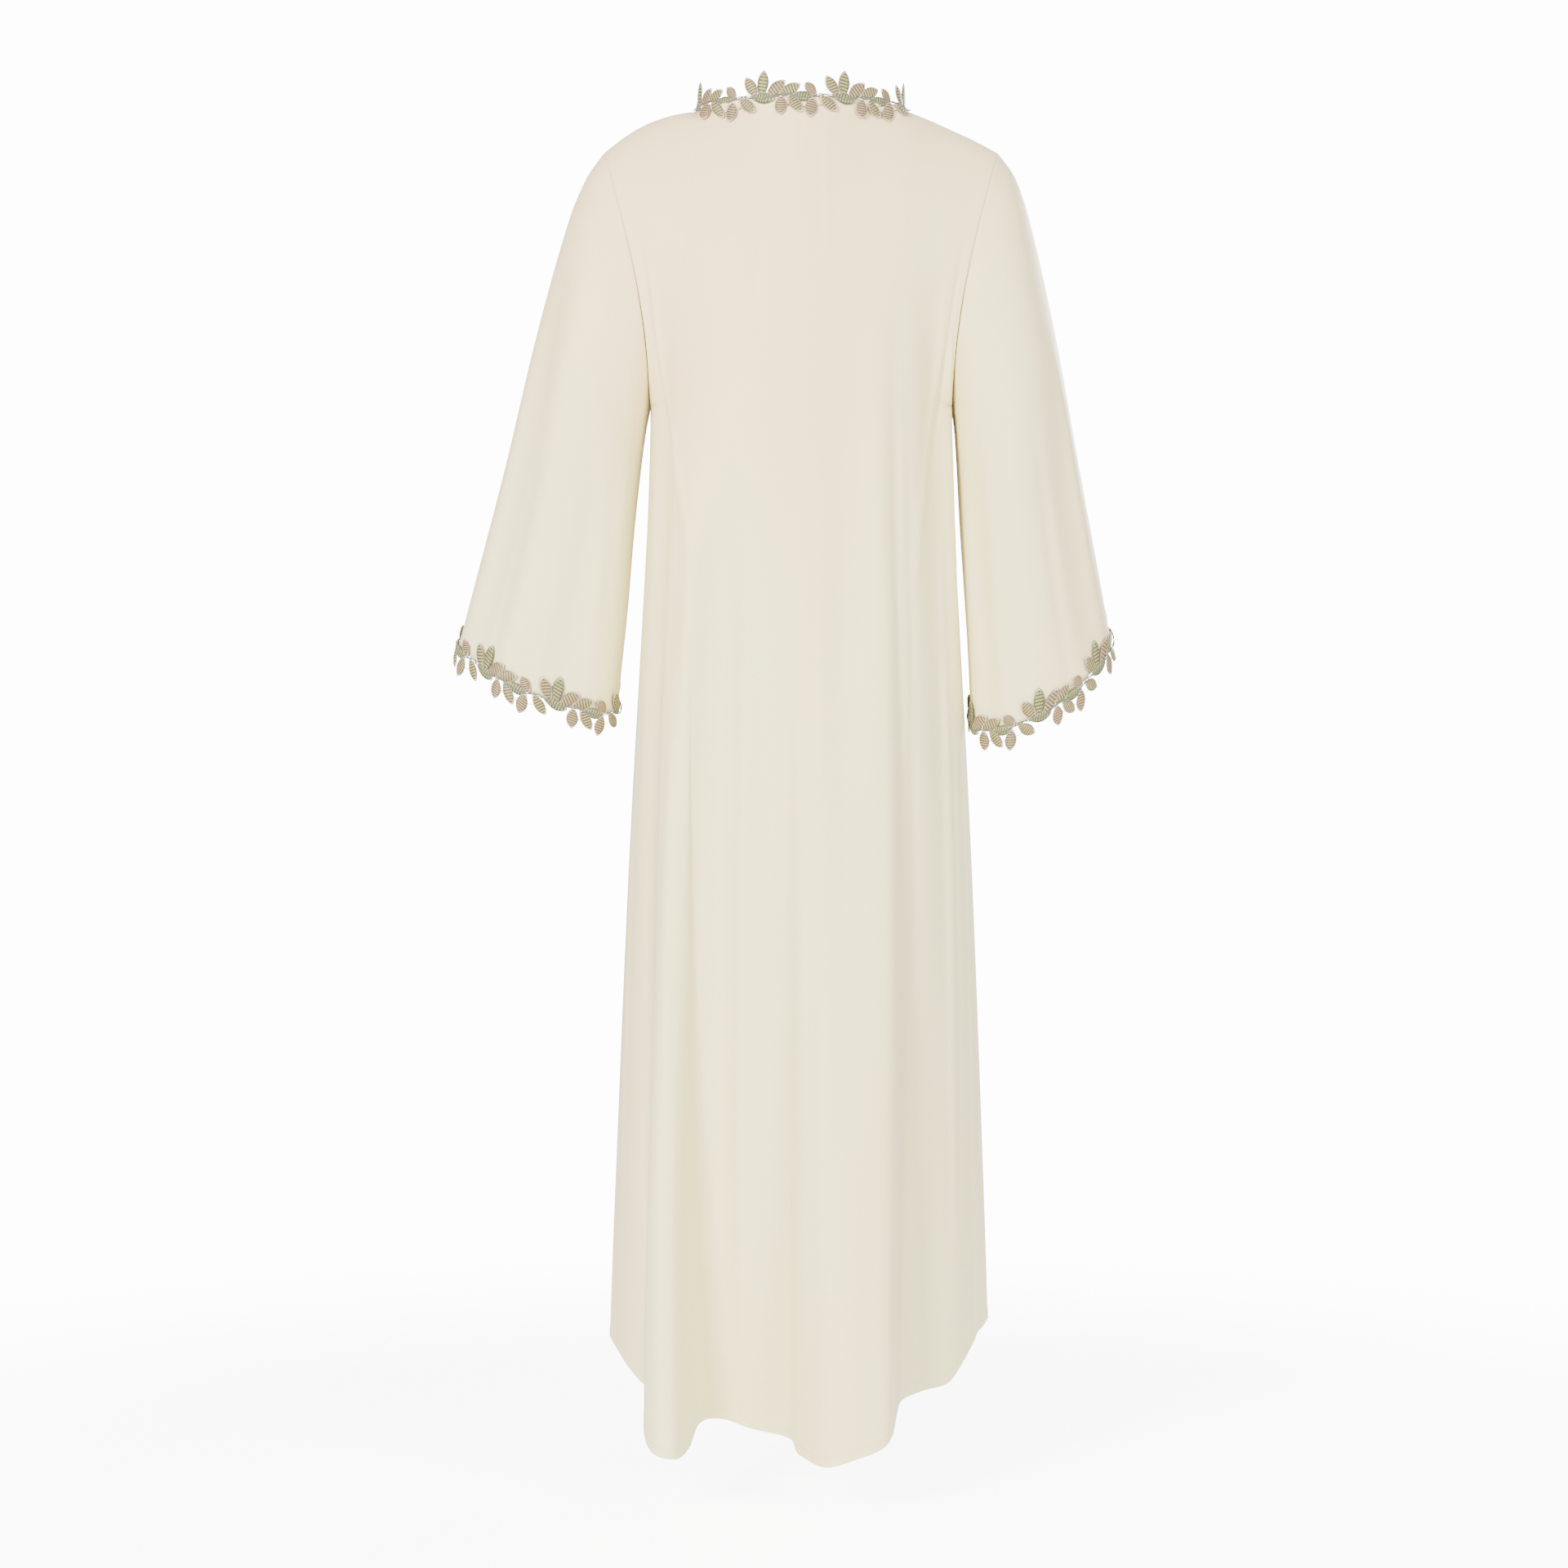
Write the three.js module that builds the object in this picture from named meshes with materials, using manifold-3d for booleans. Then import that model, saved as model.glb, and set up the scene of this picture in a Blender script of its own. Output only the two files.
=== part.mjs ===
// A maxi dress in its worn, hollow form: back and front panels, two bell sleeves, and a leaf-vine lace
// round the neck and both cuffs. Millimetres, +Z up. The dress faces -Y and the wearer's left is +X.
// The origin is midway between the two points where the shoulder seams meet the neckline.
import * as THREE from "three";
import { mergeVertices } from "three/addons/utils/BufferGeometryUtils.js";
import Module from "manifold-3d";

const kernel = await Module();
kernel.setup();
const { Manifold, Mesh } = kernel;

// ---- Driving sizes ----
const CLOTH = 1.5; // wall of the cloth
const LEAF = { wall: 1.6, lift: 0.3 }; // the lace's leaves, lifted to the middle of its stem
const STEM = { wall: 2.2 };
const SEAM_GAP = 0.3; // between pieces that are sewn together
const SLEEVE_SET = 0.25; // from the armhole's line to the sleeve's end
const LACE_LIFT = { neck: 1, cuff: 1.7 }; // from the cloth to the back of the lace

const NECK_HALF = 110; // half the neckline's width
const NECK = {
  back: { depth: 73, dip: -2, side: 1 }, // from the shoulder seam's line to centre back, and how far it dips
  front: { depth: 84, dip: 105, side: -1 },
};
const SHOULDER = { x: 210, drop: 45, curve: { left: 1.9, right: 1.2 } }; // outer end of the shoulder seam
const UNDERARM = { x: 160, z: -316 }; // bottom of the armhole
const ARMHOLE_DEPTH = { back: 62, front: 58 }; // from the side's middle to the armhole's rear and fore
const ARMHOLE_EDGE = 0.35; // share of the half width by which its sharp turn at the underarm has softened
const NECKLINE_SHARE = 0.06; // share of it that takes the neckline's curve over into the section's
const NECK_REACH = 170; // how far to either side the neckline's curve is felt under it
const ROUNDING = 0.8; // share of the armhole's height over which the shoulder rounds off
const SECTION_POWER = { upper: 2.5, lower: 0.8, edge: 5 };
const HEM_HALF = 206; // half width that the hem tables are drawn at
const FLARE_CURVE = 1.5; // how late the hem's folds die out upwards

// Across a panel: each shoulder, then the neck between them. Down it: the armhole, then underarm to hem.
const COLUMNS = { back: { shoulder: 7, neck: 22 }, front: { shoulder: 7, neck: 18 } };
const ARMHOLE_ROWS = 10;
const SKIRT_ROWS = 9;
const SLEEVE = { rows: 10, spread: 1.3, scoopEnds: 0.25 };

// The body's level sections: half width, and depth to the rear and to the fore of the side seams.
const SECTIONS = [
  { z: -1420, wide: 206, back: 160, front: 156 },
  { z: -1273, wide: 203, back: 150, front: 148 },
  { z: -1064, wide: 195, back: 138, front: 140 },
  { z: -855, wide: 186, back: 126, front: 131 },
  { z: -716, wide: 179, back: 117, front: 126 },
  { z: -560, wide: 170, back: 110, front: 123 },
  { z: -430, wide: 163, back: 106, front: 125 },
  { z: -351, wide: 160.5, back: 107, front: 130 },
  { z: -316, wide: 160, back: 108, front: 132 },
];

// The hem from above, from the right side seam (u = -1) to the left one (u = 1), at its full flare.
const HEM = {
  back: [
    { u: -1.0, x: -202, y: 0, z: -1284 }, // right side
    { u: -0.87, x: -184, y: 46, z: -1301 },
    { u: -0.7, x: -162, y: 92, z: -1334 },
    { u: -0.52, x: -124, y: 106, z: -1343 }, // hollow
    { u: -0.42, x: -102, y: 122, z: -1350 }, // foot of the middle fold
    { u: -0.36, x: -90, y: 164, z: -1358 },
    { u: -0.29, x: -79, y: 194, z: -1382 },
    { u: -0.2, x: -52, y: 211, z: -1392 }, // crest of the middle fold
    { u: -0.1, x: -22, y: 206, z: -1400 },
    { u: -0.01, x: 2, y: 176, z: -1393 },
    { u: 0.06, x: 11, y: 136, z: -1386 }, // foot of the middle fold
    { u: 0.2, x: 46, y: 118, z: -1380 }, // hollow
    { u: 0.38, x: 86, y: 112, z: -1371 },
    { u: 0.47, x: 106, y: 126, z: -1373 }, // foot of the left fold
    { u: 0.53, x: 116, y: 164, z: -1389 },
    { u: 0.59, x: 136, y: 193, z: -1394 }, // crest of the left fold
    { u: 0.65, x: 155, y: 162, z: -1372 },
    { u: 0.7, x: 158, y: 116, z: -1345 }, // foot of the left fold
    { u: 0.8, x: 173, y: 92, z: -1334 },
    { u: 0.9, x: 192, y: 48, z: -1314 },
    { u: 1.0, x: 206, y: 0, z: -1303 }, // left side
  ],
  front: [
    { u: -1.0, x: -202, y: 0, z: -1284 }, // right side
    { u: -0.86, x: -194, y: -50, z: -1275 },
    { u: -0.7, x: -168, y: -104, z: -1266 },
    { u: -0.58, x: -146, y: -162, z: -1263 }, // crest of the right fold
    { u: -0.46, x: -114, y: -172, z: -1261 },
    { u: -0.35, x: -92, y: -130, z: -1254 }, // hollow
    { u: -0.18, x: -46, y: -136, z: -1252 },
    { u: -0.06, x: -16, y: -176, z: -1258 }, // crest of the middle fold
    { u: 0.08, x: 22, y: -186, z: -1258 },
    { u: 0.2, x: 50, y: -144, z: -1252 }, // hollow
    { u: 0.36, x: 90, y: -127, z: -1254 },
    { u: 0.5, x: 120, y: -158, z: -1262 }, // crest of the left fold
    { u: 0.62, x: 150, y: -166, z: -1266 },
    { u: 0.74, x: 174, y: -108, z: -1272 },
    { u: 0.88, x: 199, y: -48, z: -1287 },
    { u: 1.0, x: 206, y: 0, z: -1303 }, // left side
  ],
};

// Soft folds that fall from the shoulders: place across the panel at the top and how far it drifts to the
// foot, half width, height (inwards if negative), and the levels where they begin and end.
const SOFT_FOLDS = {
  back: [
    { u: -0.86, drift: 0, half: 0.09, high: 3, top: -150, bottom: -700 },
    { u: -0.69, drift: 0, half: 0.19, high: -7.5, top: -120, bottom: -1500 },
    { u: -0.33, drift: 0, half: 0.11, high: 7.5, top: -170, bottom: -1500 },
    { u: -0.17, drift: 0, half: 0.1, high: -4.5, top: -260, bottom: -1250 },
    { u: 0.33, drift: 0.04, half: 0.12, high: -7, top: -360, bottom: -1500 },
    { u: 0.48, drift: 0.14, half: 0.115, high: 9, top: -330, bottom: -1500 },
    { u: 0.7, drift: 0.07, half: 0.11, high: -5, top: -180, bottom: -1500 },
  ],
  front: [
    { u: -0.52, drift: 0, half: 0.14, high: 7, top: -260, bottom: -1500 },
    { u: -0.28, drift: 0, half: 0.14, high: -6, top: -300, bottom: -1500 },
    { u: 0.02, drift: 0, half: 0.14, high: 6, top: -420, bottom: -1500 },
    { u: 0.3, drift: 0, half: 0.14, high: -6, top: -300, bottom: -1500 },
    { u: 0.56, drift: 0, half: 0.14, high: 7, top: -260, bottom: -1500 },
  ],
};
const FOLD_GROWTH = 260; // how far down a fold takes to grow
const FOLD_CALM = 0.12; // share of the half width beside each side seam over which folds die out
const PAST_HEM = -1450; // a fold that would end below this runs on to the hem

// Sleeve sections from armhole (0) to cuff (1): the outer and inner edge as seen from behind, the depth to
// the rear and to the fore, and how far the rear hangs below the fore on either side of their middle.
const SLEEVES = {
  left: {
    side: 1,
    sections: [
      { t: 0, outX: 210, outZ: -45, inX: 160, inZ: -316, back: 62, front: 58, tilt: 0 },
      { t: 0.06, outX: 228, outZ: -71, inX: 164, inZ: -336, back: 66, front: 61, tilt: 1 },
      { t: 0.15, outX: 246.5, outZ: -115, inX: 168, inZ: -364, back: 70, front: 64, tilt: 3 },
      { t: 0.4, outX: 282, outZ: -240, inX: 177, inZ: -443, back: 71, front: 64, tilt: 9 },
      { t: 0.7, outX: 318, outZ: -393, inX: 184.5, inZ: -538, back: 63, front: 58, tilt: 16 },
      { t: 1, outX: 363.5, outZ: -566, inX: 194.5, inZ: -634, back: 54, front: 52, tilt: 22 },
    ],
    folds: [
      { phi: 52, half: 26, high: -7, top: 0.12, bottom: 1.2 },
      { phi: 18, half: 22, high: 4, top: 0.3, bottom: 1.2 },
      { phi: -18, half: 20, high: -5, top: 0.25, bottom: 1.2 },
      { phi: -52, half: 18, high: 4, top: 0.1, bottom: 0.8 },
      { phi: 140, half: 28, high: -5, top: 0.2, bottom: 1.2 },
      { phi: 205, half: 26, high: -5, top: 0.25, bottom: 1.2 },
    ],
  },
  right: {
    side: -1,
    sections: [
      { t: 0, outX: 210, outZ: -45, inX: 160, inZ: -316, back: 62, front: 58, tilt: 0 },
      { t: 0.06, outX: 228, outZ: -71, inX: 163, inZ: -336, back: 66, front: 61, tilt: 2 },
      { t: 0.15, outX: 243, outZ: -115, inX: 165, inZ: -365, back: 70, front: 64, tilt: 5 },
      { t: 0.4, outX: 271.5, outZ: -240, inX: 169.5, inZ: -447, back: 71, front: 64, tilt: 14 },
      { t: 0.7, outX: 298.5, outZ: -393, inX: 175.5, inZ: -546, back: 63, front: 58, tilt: 26 },
      { t: 1, outX: 329, outZ: -559, inX: 180.5, inZ: -645, back: 54, front: 52, tilt: 38 },
    ],
    folds: [
      { phi: 48, half: 24, high: -4, top: 0.3, bottom: 1.2 },
      { phi: 0, half: 30, high: 4, top: 0.2, bottom: 1.2 },
      { phi: -48, half: 20, high: -5, top: 0.15, bottom: 1.2 },
      { phi: 140, half: 28, high: -5, top: 0.2, bottom: 1.2 },
      { phi: 205, half: 26, high: -5, top: 0.25, bottom: 1.2 },
    ],
  },
};
const SLEEVE_FOLD_GROWTH = 0.35;
const sleeveLevel = (row) => (row / SLEEVE.rows) ** SLEEVE.spread;

// One repeat of the vine: leaves above and below its stem, with the place along the repeat, the lean
// from upright, length and width.
const VINE = { repeat: 85, half: 1.4, wave: 1.8, waves: 2, step: 12 };
const LEAVES = {
  up: [
    { at: 2, lean: -40, long: 18, wide: 10 },
    { at: 26, lean: -31, long: 27, wide: 11.5 },
    { at: 30, lean: 4, long: 30, wide: 11.5 },
    { at: 34.5, lean: 47, long: 27, wide: 13 },
    { at: 47, lean: 64, long: 26, wide: 11.5 },
  ],
  down: [
    { at: 5, lean: 48, long: 24, wide: 11 },
    { at: 18, lean: 82, long: 26, wide: 11 },
    { at: 50, lean: 2, long: 22, wide: 12 },
    { at: 57, lean: 38, long: 24.5, wide: 10.5 },
    { at: 60, lean: 84, long: 24, wide: 10.5 },
    { at: 83, lean: -8, long: 23, wide: 12 },
  ],
};
const LEAF_SHAPE = [
  { along: 0.3, share: 0.86 },
  { along: 0.74, share: 0.94 },
]; // half outline between stalk and tip

// How the neck's lace is laid: steps down the cloth and round the neck that its bed is worked out at,
// the angle above level at which its upper leaves stand, and half the width over which it turns.
const NECK_BED = { step: 4, rows: 8, march: 0.8, rays: 60 };
const NECK_RISE = { back: 94, front: 116, side: 92 };
const NECK_TURN = 7;

// ---- Colours ----
const IVORY = { color: 0xe9e3d5, roughness: 0.62, metalness: 0 };
const LACE_THREAD = { color: 0xb3a78c, roughness: 0.5, metalness: 0.15 };

// ---- Helpers ----
const radians = THREE.MathUtils.degToRad;
const lerp = THREE.MathUtils.lerp;
const clamp = THREE.MathUtils.clamp;
const smooth = (x) => THREE.MathUtils.smoothstep(x, 0, 1);

// A cubic through a table's rows: the value of one column at a place in another.
function along(table, key, at, column) {
  const last = table.length - 2;
  let i = 0;
  while (i < last && at > table[i + 1][key]) i += 1;
  const slope = (j) => {
    const a = table[Math.max(j - 1, 0)];
    const b = table[Math.min(j + 1, last + 1)];
    return (b[column] - a[column]) / (b[key] - a[key]);
  };
  const [p, q] = [table[i], table[i + 1]];
  const span = q[key] - p[key];
  const s = (at - p[key]) / span;
  if (s < 0) return p[column] + slope(i) * s * span;
  if (s > 1) return q[column] + slope(i + 1) * (s - 1) * span;
  return (
    (1 + 2 * s) * (1 - s) ** 2 * p[column] +
    s * (1 - s) ** 2 * span * slope(i) +
    s * s * (3 - 2 * s) * q[column] +
    s * s * (s - 1) * span * slope(i + 1)
  );
}

// A soft hump, 1 in the middle and 0 at either edge.
const hump = (x) => (Math.abs(x) < 1 ? (1 + Math.cos(Math.PI * x)) / 2 : 0);

// The place along a curve of points at a distance from its start, as a share of the whole.
function measured(curve, count) {
  const points = Array.from({ length: count + 1 }, (_, i) => curve(i / count));
  const lengths = [0];
  for (let i = 1; i <= count; i += 1) lengths.push(lengths[i - 1] + points[i].distanceTo(points[i - 1]));
  const total = lengths[count];
  const shareAt = (s) => {
    const want = clamp(s, 0, total);
    let i = 1;
    while (i < count && lengths[i] < want) i += 1;
    return (i - 1 + (want - lengths[i - 1]) / (lengths[i] - lengths[i - 1])) / count;
  };
  return { total, shareAt };
}

const MEASURE_STEPS = 90;

// ---- The body's surface ----
const topEdge = (x, cut) => {
  const across = Math.abs(x) / NECK_HALF;
  if (across < 1) return -cut.dip * (1 - across ** 2);
  const out = (Math.abs(x) - NECK_HALF) / (SHOULDER.x - NECK_HALF);
  return -SHOULDER.drop * out ** SHOULDER.curve[x > 0 ? "left" : "right"];
};

// How far the armhole has come in from shoulder to underarm, by its level.
const scoop = (f) => Math.sin((Math.PI / 2) * f);

// The part from the neck and shoulder seam down to the underarm: u across from -1 to 1, f down from 0 to 1.
function yoke(panel, u, f) {
  const cut = NECK[panel];
  const topX = SHOULDER.x * u;
  const below = smooth(f / NECKLINE_SHARE);
  const neckness = hump(topX / NECK_REACH);
  const lobe = lerp(Math.sqrt(Math.max(0, 1 - (topX / NECK_HALF) ** 2)), neckness, below);
  const edgeX = lerp(SHOULDER.x, UNDERARM.x, scoop(f));
  const inside = smooth((1 - Math.abs(u)) / ARMHOLE_EDGE);
  const edgeY = ARMHOLE_DEPTH[panel] * lerp(2 * Math.sqrt(Math.max(0, f * (1 - f))), 4 * f * (1 - f), inside);
  const full = along(SECTIONS, "z", UNDERARM.z, panel);
  const g = Math.min(f / ROUNDING, 1);
  const rounding = lerp(Math.sqrt(1 - (1 - g) ** 2), Math.sin((Math.PI / 2) * g), neckness);
  const middleY = lerp(cut.depth * lobe, full, rounding);
  const turn = (Math.PI / 2) * u;
  const grown = smooth(f);
  const shape = lerp(
    1 - Math.abs(u) ** SECTION_POWER.upper,
    Math.max(0, Math.cos(turn)) ** SECTION_POWER.lower,
    grown,
  );
  const edgeReach = lerp(1 - shape, Math.abs(u) ** SECTION_POWER.edge, grown);
  const outer = smooth((Math.abs(topX) - NECK_HALF) / (SHOULDER.x - NECK_HALF)); // along the shoulder seam
  return new THREE.Vector3(
    edgeX * lerp(u, Math.sin(turn), grown),
    cut.side * (middleY * lerp(1 - outer, shape, below) + edgeY * lerp(outer, edgeReach, below)),
    lerp(topEdge(topX, cut), UNDERARM.z, f),
  );
}

// The part from the underarm to the hem: t down from 0 to 1.
function skirt(panel, u, t) {
  const hem = HEM[panel];
  const z = lerp(UNDERARM.z, along(hem, "u", u, "z"), t);
  const wide = along(SECTIONS, "z", z, "wide");
  const deep = along(SECTIONS, "z", z, panel);
  const turn = (Math.PI / 2) * u;
  const flare = t ** FLARE_CURVE;
  const scale = wide / HEM_HALF;
  return new THREE.Vector3(
    lerp(wide * Math.sin(turn), along(hem, "u", u, "x") * scale, flare),
    lerp(
      NECK[panel].side * deep * Math.max(0, Math.cos(turn)) ** SECTION_POWER.lower,
      along(hem, "u", u, "y") * scale,
      flare,
    ),
    z,
  );
}

// v runs from 0 at the neck and shoulder seam, through 1 at the underarm, to 2 at the hem.
const plainBody = (panel, u, v) =>
  v <= 1 ? yoke(panel, u, (1 - Math.cos(Math.PI * v)) / 2) : skirt(panel, u, v - 1);

const NORMAL_STEP = 0.004; // how far to either side a surface is felt for its normal
function normalOf(surface, a, b, limits) {
  const [lowA, highA, lowB, highB] = limits;
  const step = NORMAL_STEP;
  const across = surface(Math.min(a + step, highA), b).sub(surface(Math.max(a - step, lowA), b));
  const down = surface(a, Math.min(b + step, highB)).sub(surface(a, Math.max(b - step, lowB)));
  return across.cross(down).normalize();
}

const PANEL_LIMITS = [-1, 1, 0, 2];
const outwards = (panel, u, v) =>
  normalOf((a, b) => plainBody(panel, a, b), u, v, PANEL_LIMITS).multiplyScalar(NECK[panel].side);

function body(panel, u, v) {
  const point = plainBody(panel, u, v);
  const edge = smooth((1 - Math.abs(u)) / FOLD_CALM);
  let high = 0;
  for (const fold of SOFT_FOLDS[panel]) {
    const begun = smooth((fold.top - point.z) / FOLD_GROWTH);
    const going = smooth((point.z - fold.bottom) / FOLD_GROWTH);
    const late = fold.bottom < PAST_HEM ? 1 : going;
    const middle = fold.u + fold.drift * smooth((fold.top - point.z) / (fold.top - fold.bottom));
    high += fold.high * hump((u - middle) / fold.half) * begun * late * edge;
  }
  return high ? point.addScaledVector(outwards(panel, u, v), high) : point;
}

// ---- The sleeve's surface: phi round it in degrees (90 outer, 0 rear, -90 inner), t down it ----
function plainSleeve(sleeve, phi, t) {
  const at = (column) => along(sleeve.sections, "t", t, column);
  const cosine = Math.cos(radians(phi));
  const f = (1 - Math.sin(radians(phi))) / 2;
  const share = lerp(scoop(f), f, smooth(t / SLEEVE.scoopEnds));
  return new THREE.Vector3(
    sleeve.side * lerp(at("outX"), at("inX"), share),
    (cosine > 0 ? at("back") : at("front")) * cosine,
    lerp(at("outZ"), at("inZ"), f) - at("tilt") * cosine,
  );
}

const sleeveOutwards = (sleeve, phi, t) => {
  const surface = (a, b) => plainSleeve(sleeve, a * 90, b);
  return normalOf(surface, phi / 90, t, [-9, 9, 0, 9]).multiplyScalar(sleeve.side);
};

function sleeveSurface(sleeve, phi, t) {
  const point = plainSleeve(sleeve, phi, t);
  let high = 0;
  for (const fold of sleeve.folds) {
    const turned = ((phi - fold.phi + 540) % 360) - 180;
    const begun = smooth((t - fold.top) / SLEEVE_FOLD_GROWTH);
    const going = smooth((fold.bottom - t) / SLEEVE_FOLD_GROWTH);
    high += fold.high * hump(turned / fold.half) * begun * going;
  }
  return high ? point.addScaledVector(sleeveOutwards(sleeve, phi, t), high) : point;
}

// ---- Walls ----
// A wall between an outer grid of points and the same grid moved in. Rows are lists of points.
function wall(outer, inner, ring) {
  const rows = outer.length;
  const columns = outer[0].length;
  const points = [...outer.flat(), ...inner.flat()];
  const faces = [];
  const at = (layer, row, column) => layer * rows * columns + row * columns + (column % columns);
  const quad = (a, b, c, d) => faces.push(a, b, c, a, c, d);
  const lastColumn = ring ? columns : columns - 1;
  for (let row = 0; row < rows - 1; row += 1) {
    for (let column = 0; column < lastColumn; column += 1) {
      const corners = [
        [row, column],
        [row + 1, column],
        [row + 1, column + 1],
        [row, column + 1],
      ];
      quad(...corners.map(([r, c]) => at(0, r, c)));
      quad(...corners.map(([r, c]) => at(1, r, c)).reverse());
    }
  }
  for (let column = 0; column < lastColumn; column += 1) {
    quad(at(0, 0, column), at(0, 0, column + 1), at(1, 0, column + 1), at(1, 0, column));
    const low = rows - 1;
    quad(at(0, low, column + 1), at(0, low, column), at(1, low, column), at(1, low, column + 1));
  }
  if (!ring) {
    for (let row = 0; row < rows - 1; row += 1) {
      quad(at(0, row + 1, 0), at(0, row, 0), at(1, row, 0), at(1, row + 1, 0));
      const last = columns - 1;
      quad(at(0, row, last), at(0, row + 1, last), at(1, row + 1, last), at(1, row, last));
    }
  }
  const numbers = points.flatMap((p) => [p.x, p.y, p.z]);
  const geometry = new THREE.BufferGeometry();
  geometry.setAttribute("position", new THREE.Float32BufferAttribute(numbers, 3));
  geometry.setIndex(faces);
  return geometry;
}

// A point of a grid's facets at a fraction of a column and a row, each cell cut as in the wall.
function onFacets(grid, column, row) {
  const c = clamp(Math.floor(column), 0, grid[0].length - 2);
  const r = clamp(Math.floor(row), 0, grid.length - 2);
  const [right, down] = [column - c, row - r];
  const [start, far] = [grid[r][c], grid[r + 1][c + 1]];
  const turn = down > right ? grid[r + 1][c] : grid[r][c + 1];
  const [first, second] = down > right ? [down, right] : [right, down];
  return start
    .clone()
    .addScaledVector(turn.clone().sub(start), first)
    .addScaledVector(far.clone().sub(turn), second);
}

// Turns every face round if the closed geometry is inside out.
function facingOut(geometry) {
  const index = geometry.index ? geometry.index.array : null;
  const position = geometry.getAttribute("position");
  const corner = (i) => new THREE.Vector3().fromBufferAttribute(position, index ? index[i] : i);
  const count = index ? index.length : position.count;
  let volume = 0;
  for (let i = 0; i < count; i += 3) volume += corner(i).dot(corner(i + 1).cross(corner(i + 2)));
  if (volume > 0) return geometry;
  const turned = index ? Array.from(index) : Array.from({ length: count }, (_, i) => i);
  for (let i = 0; i < count; i += 3) [turned[i + 1], turned[i + 2]] = [turned[i + 2], turned[i + 1]];
  return geometry.setIndex(turned);
}

const towards = (from, to, distance) =>
  from.clone().addScaledVector(to.clone().sub(from).normalize(), distance);

// Across a panel at a level: under the neckline the columns fan out from even angles round the neck, and
// from the underarm down they run to even steps along the hem's folds.
const HEM_STEPS = Object.fromEntries(
  Object.entries(HEM).map(([panel, rows]) => {
    const at = (share) =>
      new THREE.Vector3(...["x", "y", "z"].map((column) => along(rows, "u", 2 * share - 1, column)));
    return [panel, measured(at, MEASURE_STEPS)];
  }),
);

function panelColumns(panel, v) {
  const { shoulder, neck } = COLUMNS[panel];
  const ratio = NECK_HALF / SHOULDER.x;
  const last = 2 * shoulder + neck;
  const { total, shareAt } = HEM_STEPS[panel];
  return Array.from({ length: last + 1 }, (_, i) => {
    const out = Math.min(i, last - i);
    if (out === 0) return i ? 1 : -1;
    const side = i < last / 2 ? -1 : 1;
    const turn = radians((180 * (i - shoulder)) / neck - 90);
    const top = out < shoulder ? side * lerp(1, ratio, out / shoulder) : ratio * Math.sin(turn);
    return lerp(top, 2 * shareAt((total * i) / last) - 1, smooth(v));
  });
}

// The direction through the wall at the armhole's edge: halfway between panel and sleeve on a ridge, so
// that their ends meet in a mitre, and each piece's own in a crease.
const LEAST_MITRE = 0.6; // the sharpest ridge that a mitre is lengthened for
function edgeThrough(own, other, otherLeaves) {
  if (otherLeaves.dot(own) > 0 || own.dot(other) < 0) return own;
  const half = own.clone().add(other).normalize();
  return half.divideScalar(Math.max(half.dot(own), LEAST_MITRE));
}

// The sleeve's angle at a level of the armhole on one panel.
const armholeAngle = (panel, v) => (panel === "back" ? 90 - 180 * v : 90 + 180 * v);

const LEVELS = [
  ...Array.from({ length: ARMHOLE_ROWS }, (_, row) => row / ARMHOLE_ROWS),
  ...Array.from({ length: SKIRT_ROWS + 1 }, (_, row) => 1 + row / SKIRT_ROWS),
];
const GRIDS = Object.fromEntries(
  Object.keys(NECK).map((panel) => [
    panel,
    LEVELS.map((v) => panelColumns(panel, v).map((u) => body(panel, u, v))),
  ]),
);

const LEAST_AGREED = 0.75; // the sharpest crease that the wall is thickened for

// The way out at each point of a grid: the mean of its facets', each cell cut as in the wall, and longer
// than 1 in a crease, so that a wall moved along it keeps its thickness there.
function gridOutwards(grid, ring, sign) {
  const width = grid[0].length;
  const ways = grid.map((row) => row.map(() => new THREE.Vector3()));
  const counts = grid.map((row) => row.map(() => 0));
  for (let r = 0; r < grid.length - 1; r += 1) {
    for (let c = 0; c < (ring ? width : width - 1); c += 1) {
      const next = (c + 1) % width;
      for (const turn of [[r + 1, c], [r, next]]) {
        const corners = [[r, c], turn, [r + 1, next]];
        const [a, b, d] = corners.map(([row, column]) => grid[row][column]);
        const facet = b.clone().sub(a).cross(d.clone().sub(a)).normalize();
        if (turn[0] > r) facet.negate();
        for (const [row, column] of corners) {
          ways[row][column].add(facet);
          counts[row][column] += 1;
        }
      }
    }
  }
  return ways.map((row, r) =>
    row.map((way, c) => {
      const agreed = Math.max(way.length() / counts[r][c], LEAST_AGREED);
      return way.normalize().multiplyScalar(sign / agreed);
    }),
  );
}

// Whether a column of a panel starts on its shoulder seam.
const onShoulder = (panel, column) =>
  Math.min(column, GRIDS[panel][0].length - 1 - column) <= COLUMNS[panel].shoulder;

// The way through a panel's wall: in the seam's plane along the shoulders and sides.
function panelThrough(panel) {
  const through = gridOutwards(GRIDS[panel], false, NECK[panel].side);
  const last = through[0].length - 1;
  through[0].forEach((way, column) => {
    if (onShoulder(panel, column)) way.setY(0).normalize();
  });
  LEVELS.forEach((v, row) => {
    for (const [column, sleeve] of [[0, SLEEVES.right], [last, SLEEVES.left]]) {
      const way = through[row][column];
      const phi = armholeAngle(panel, v);
      const sleeveWay = sleeveOutwards(sleeve, phi, 0);
      if (v >= 1) way.setY(0).normalize();
      else if (v > 0) way.copy(edgeThrough(way.normalize(), sleeveWay, sleeveLeaves(sleeve, phi)));
    }
  });
  return through;
}

const movedIn = (grid, through, by) =>
  grid.map((row, r) => row.map((p, c) => p.clone().addScaledVector(through[r][c], -by)));

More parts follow.
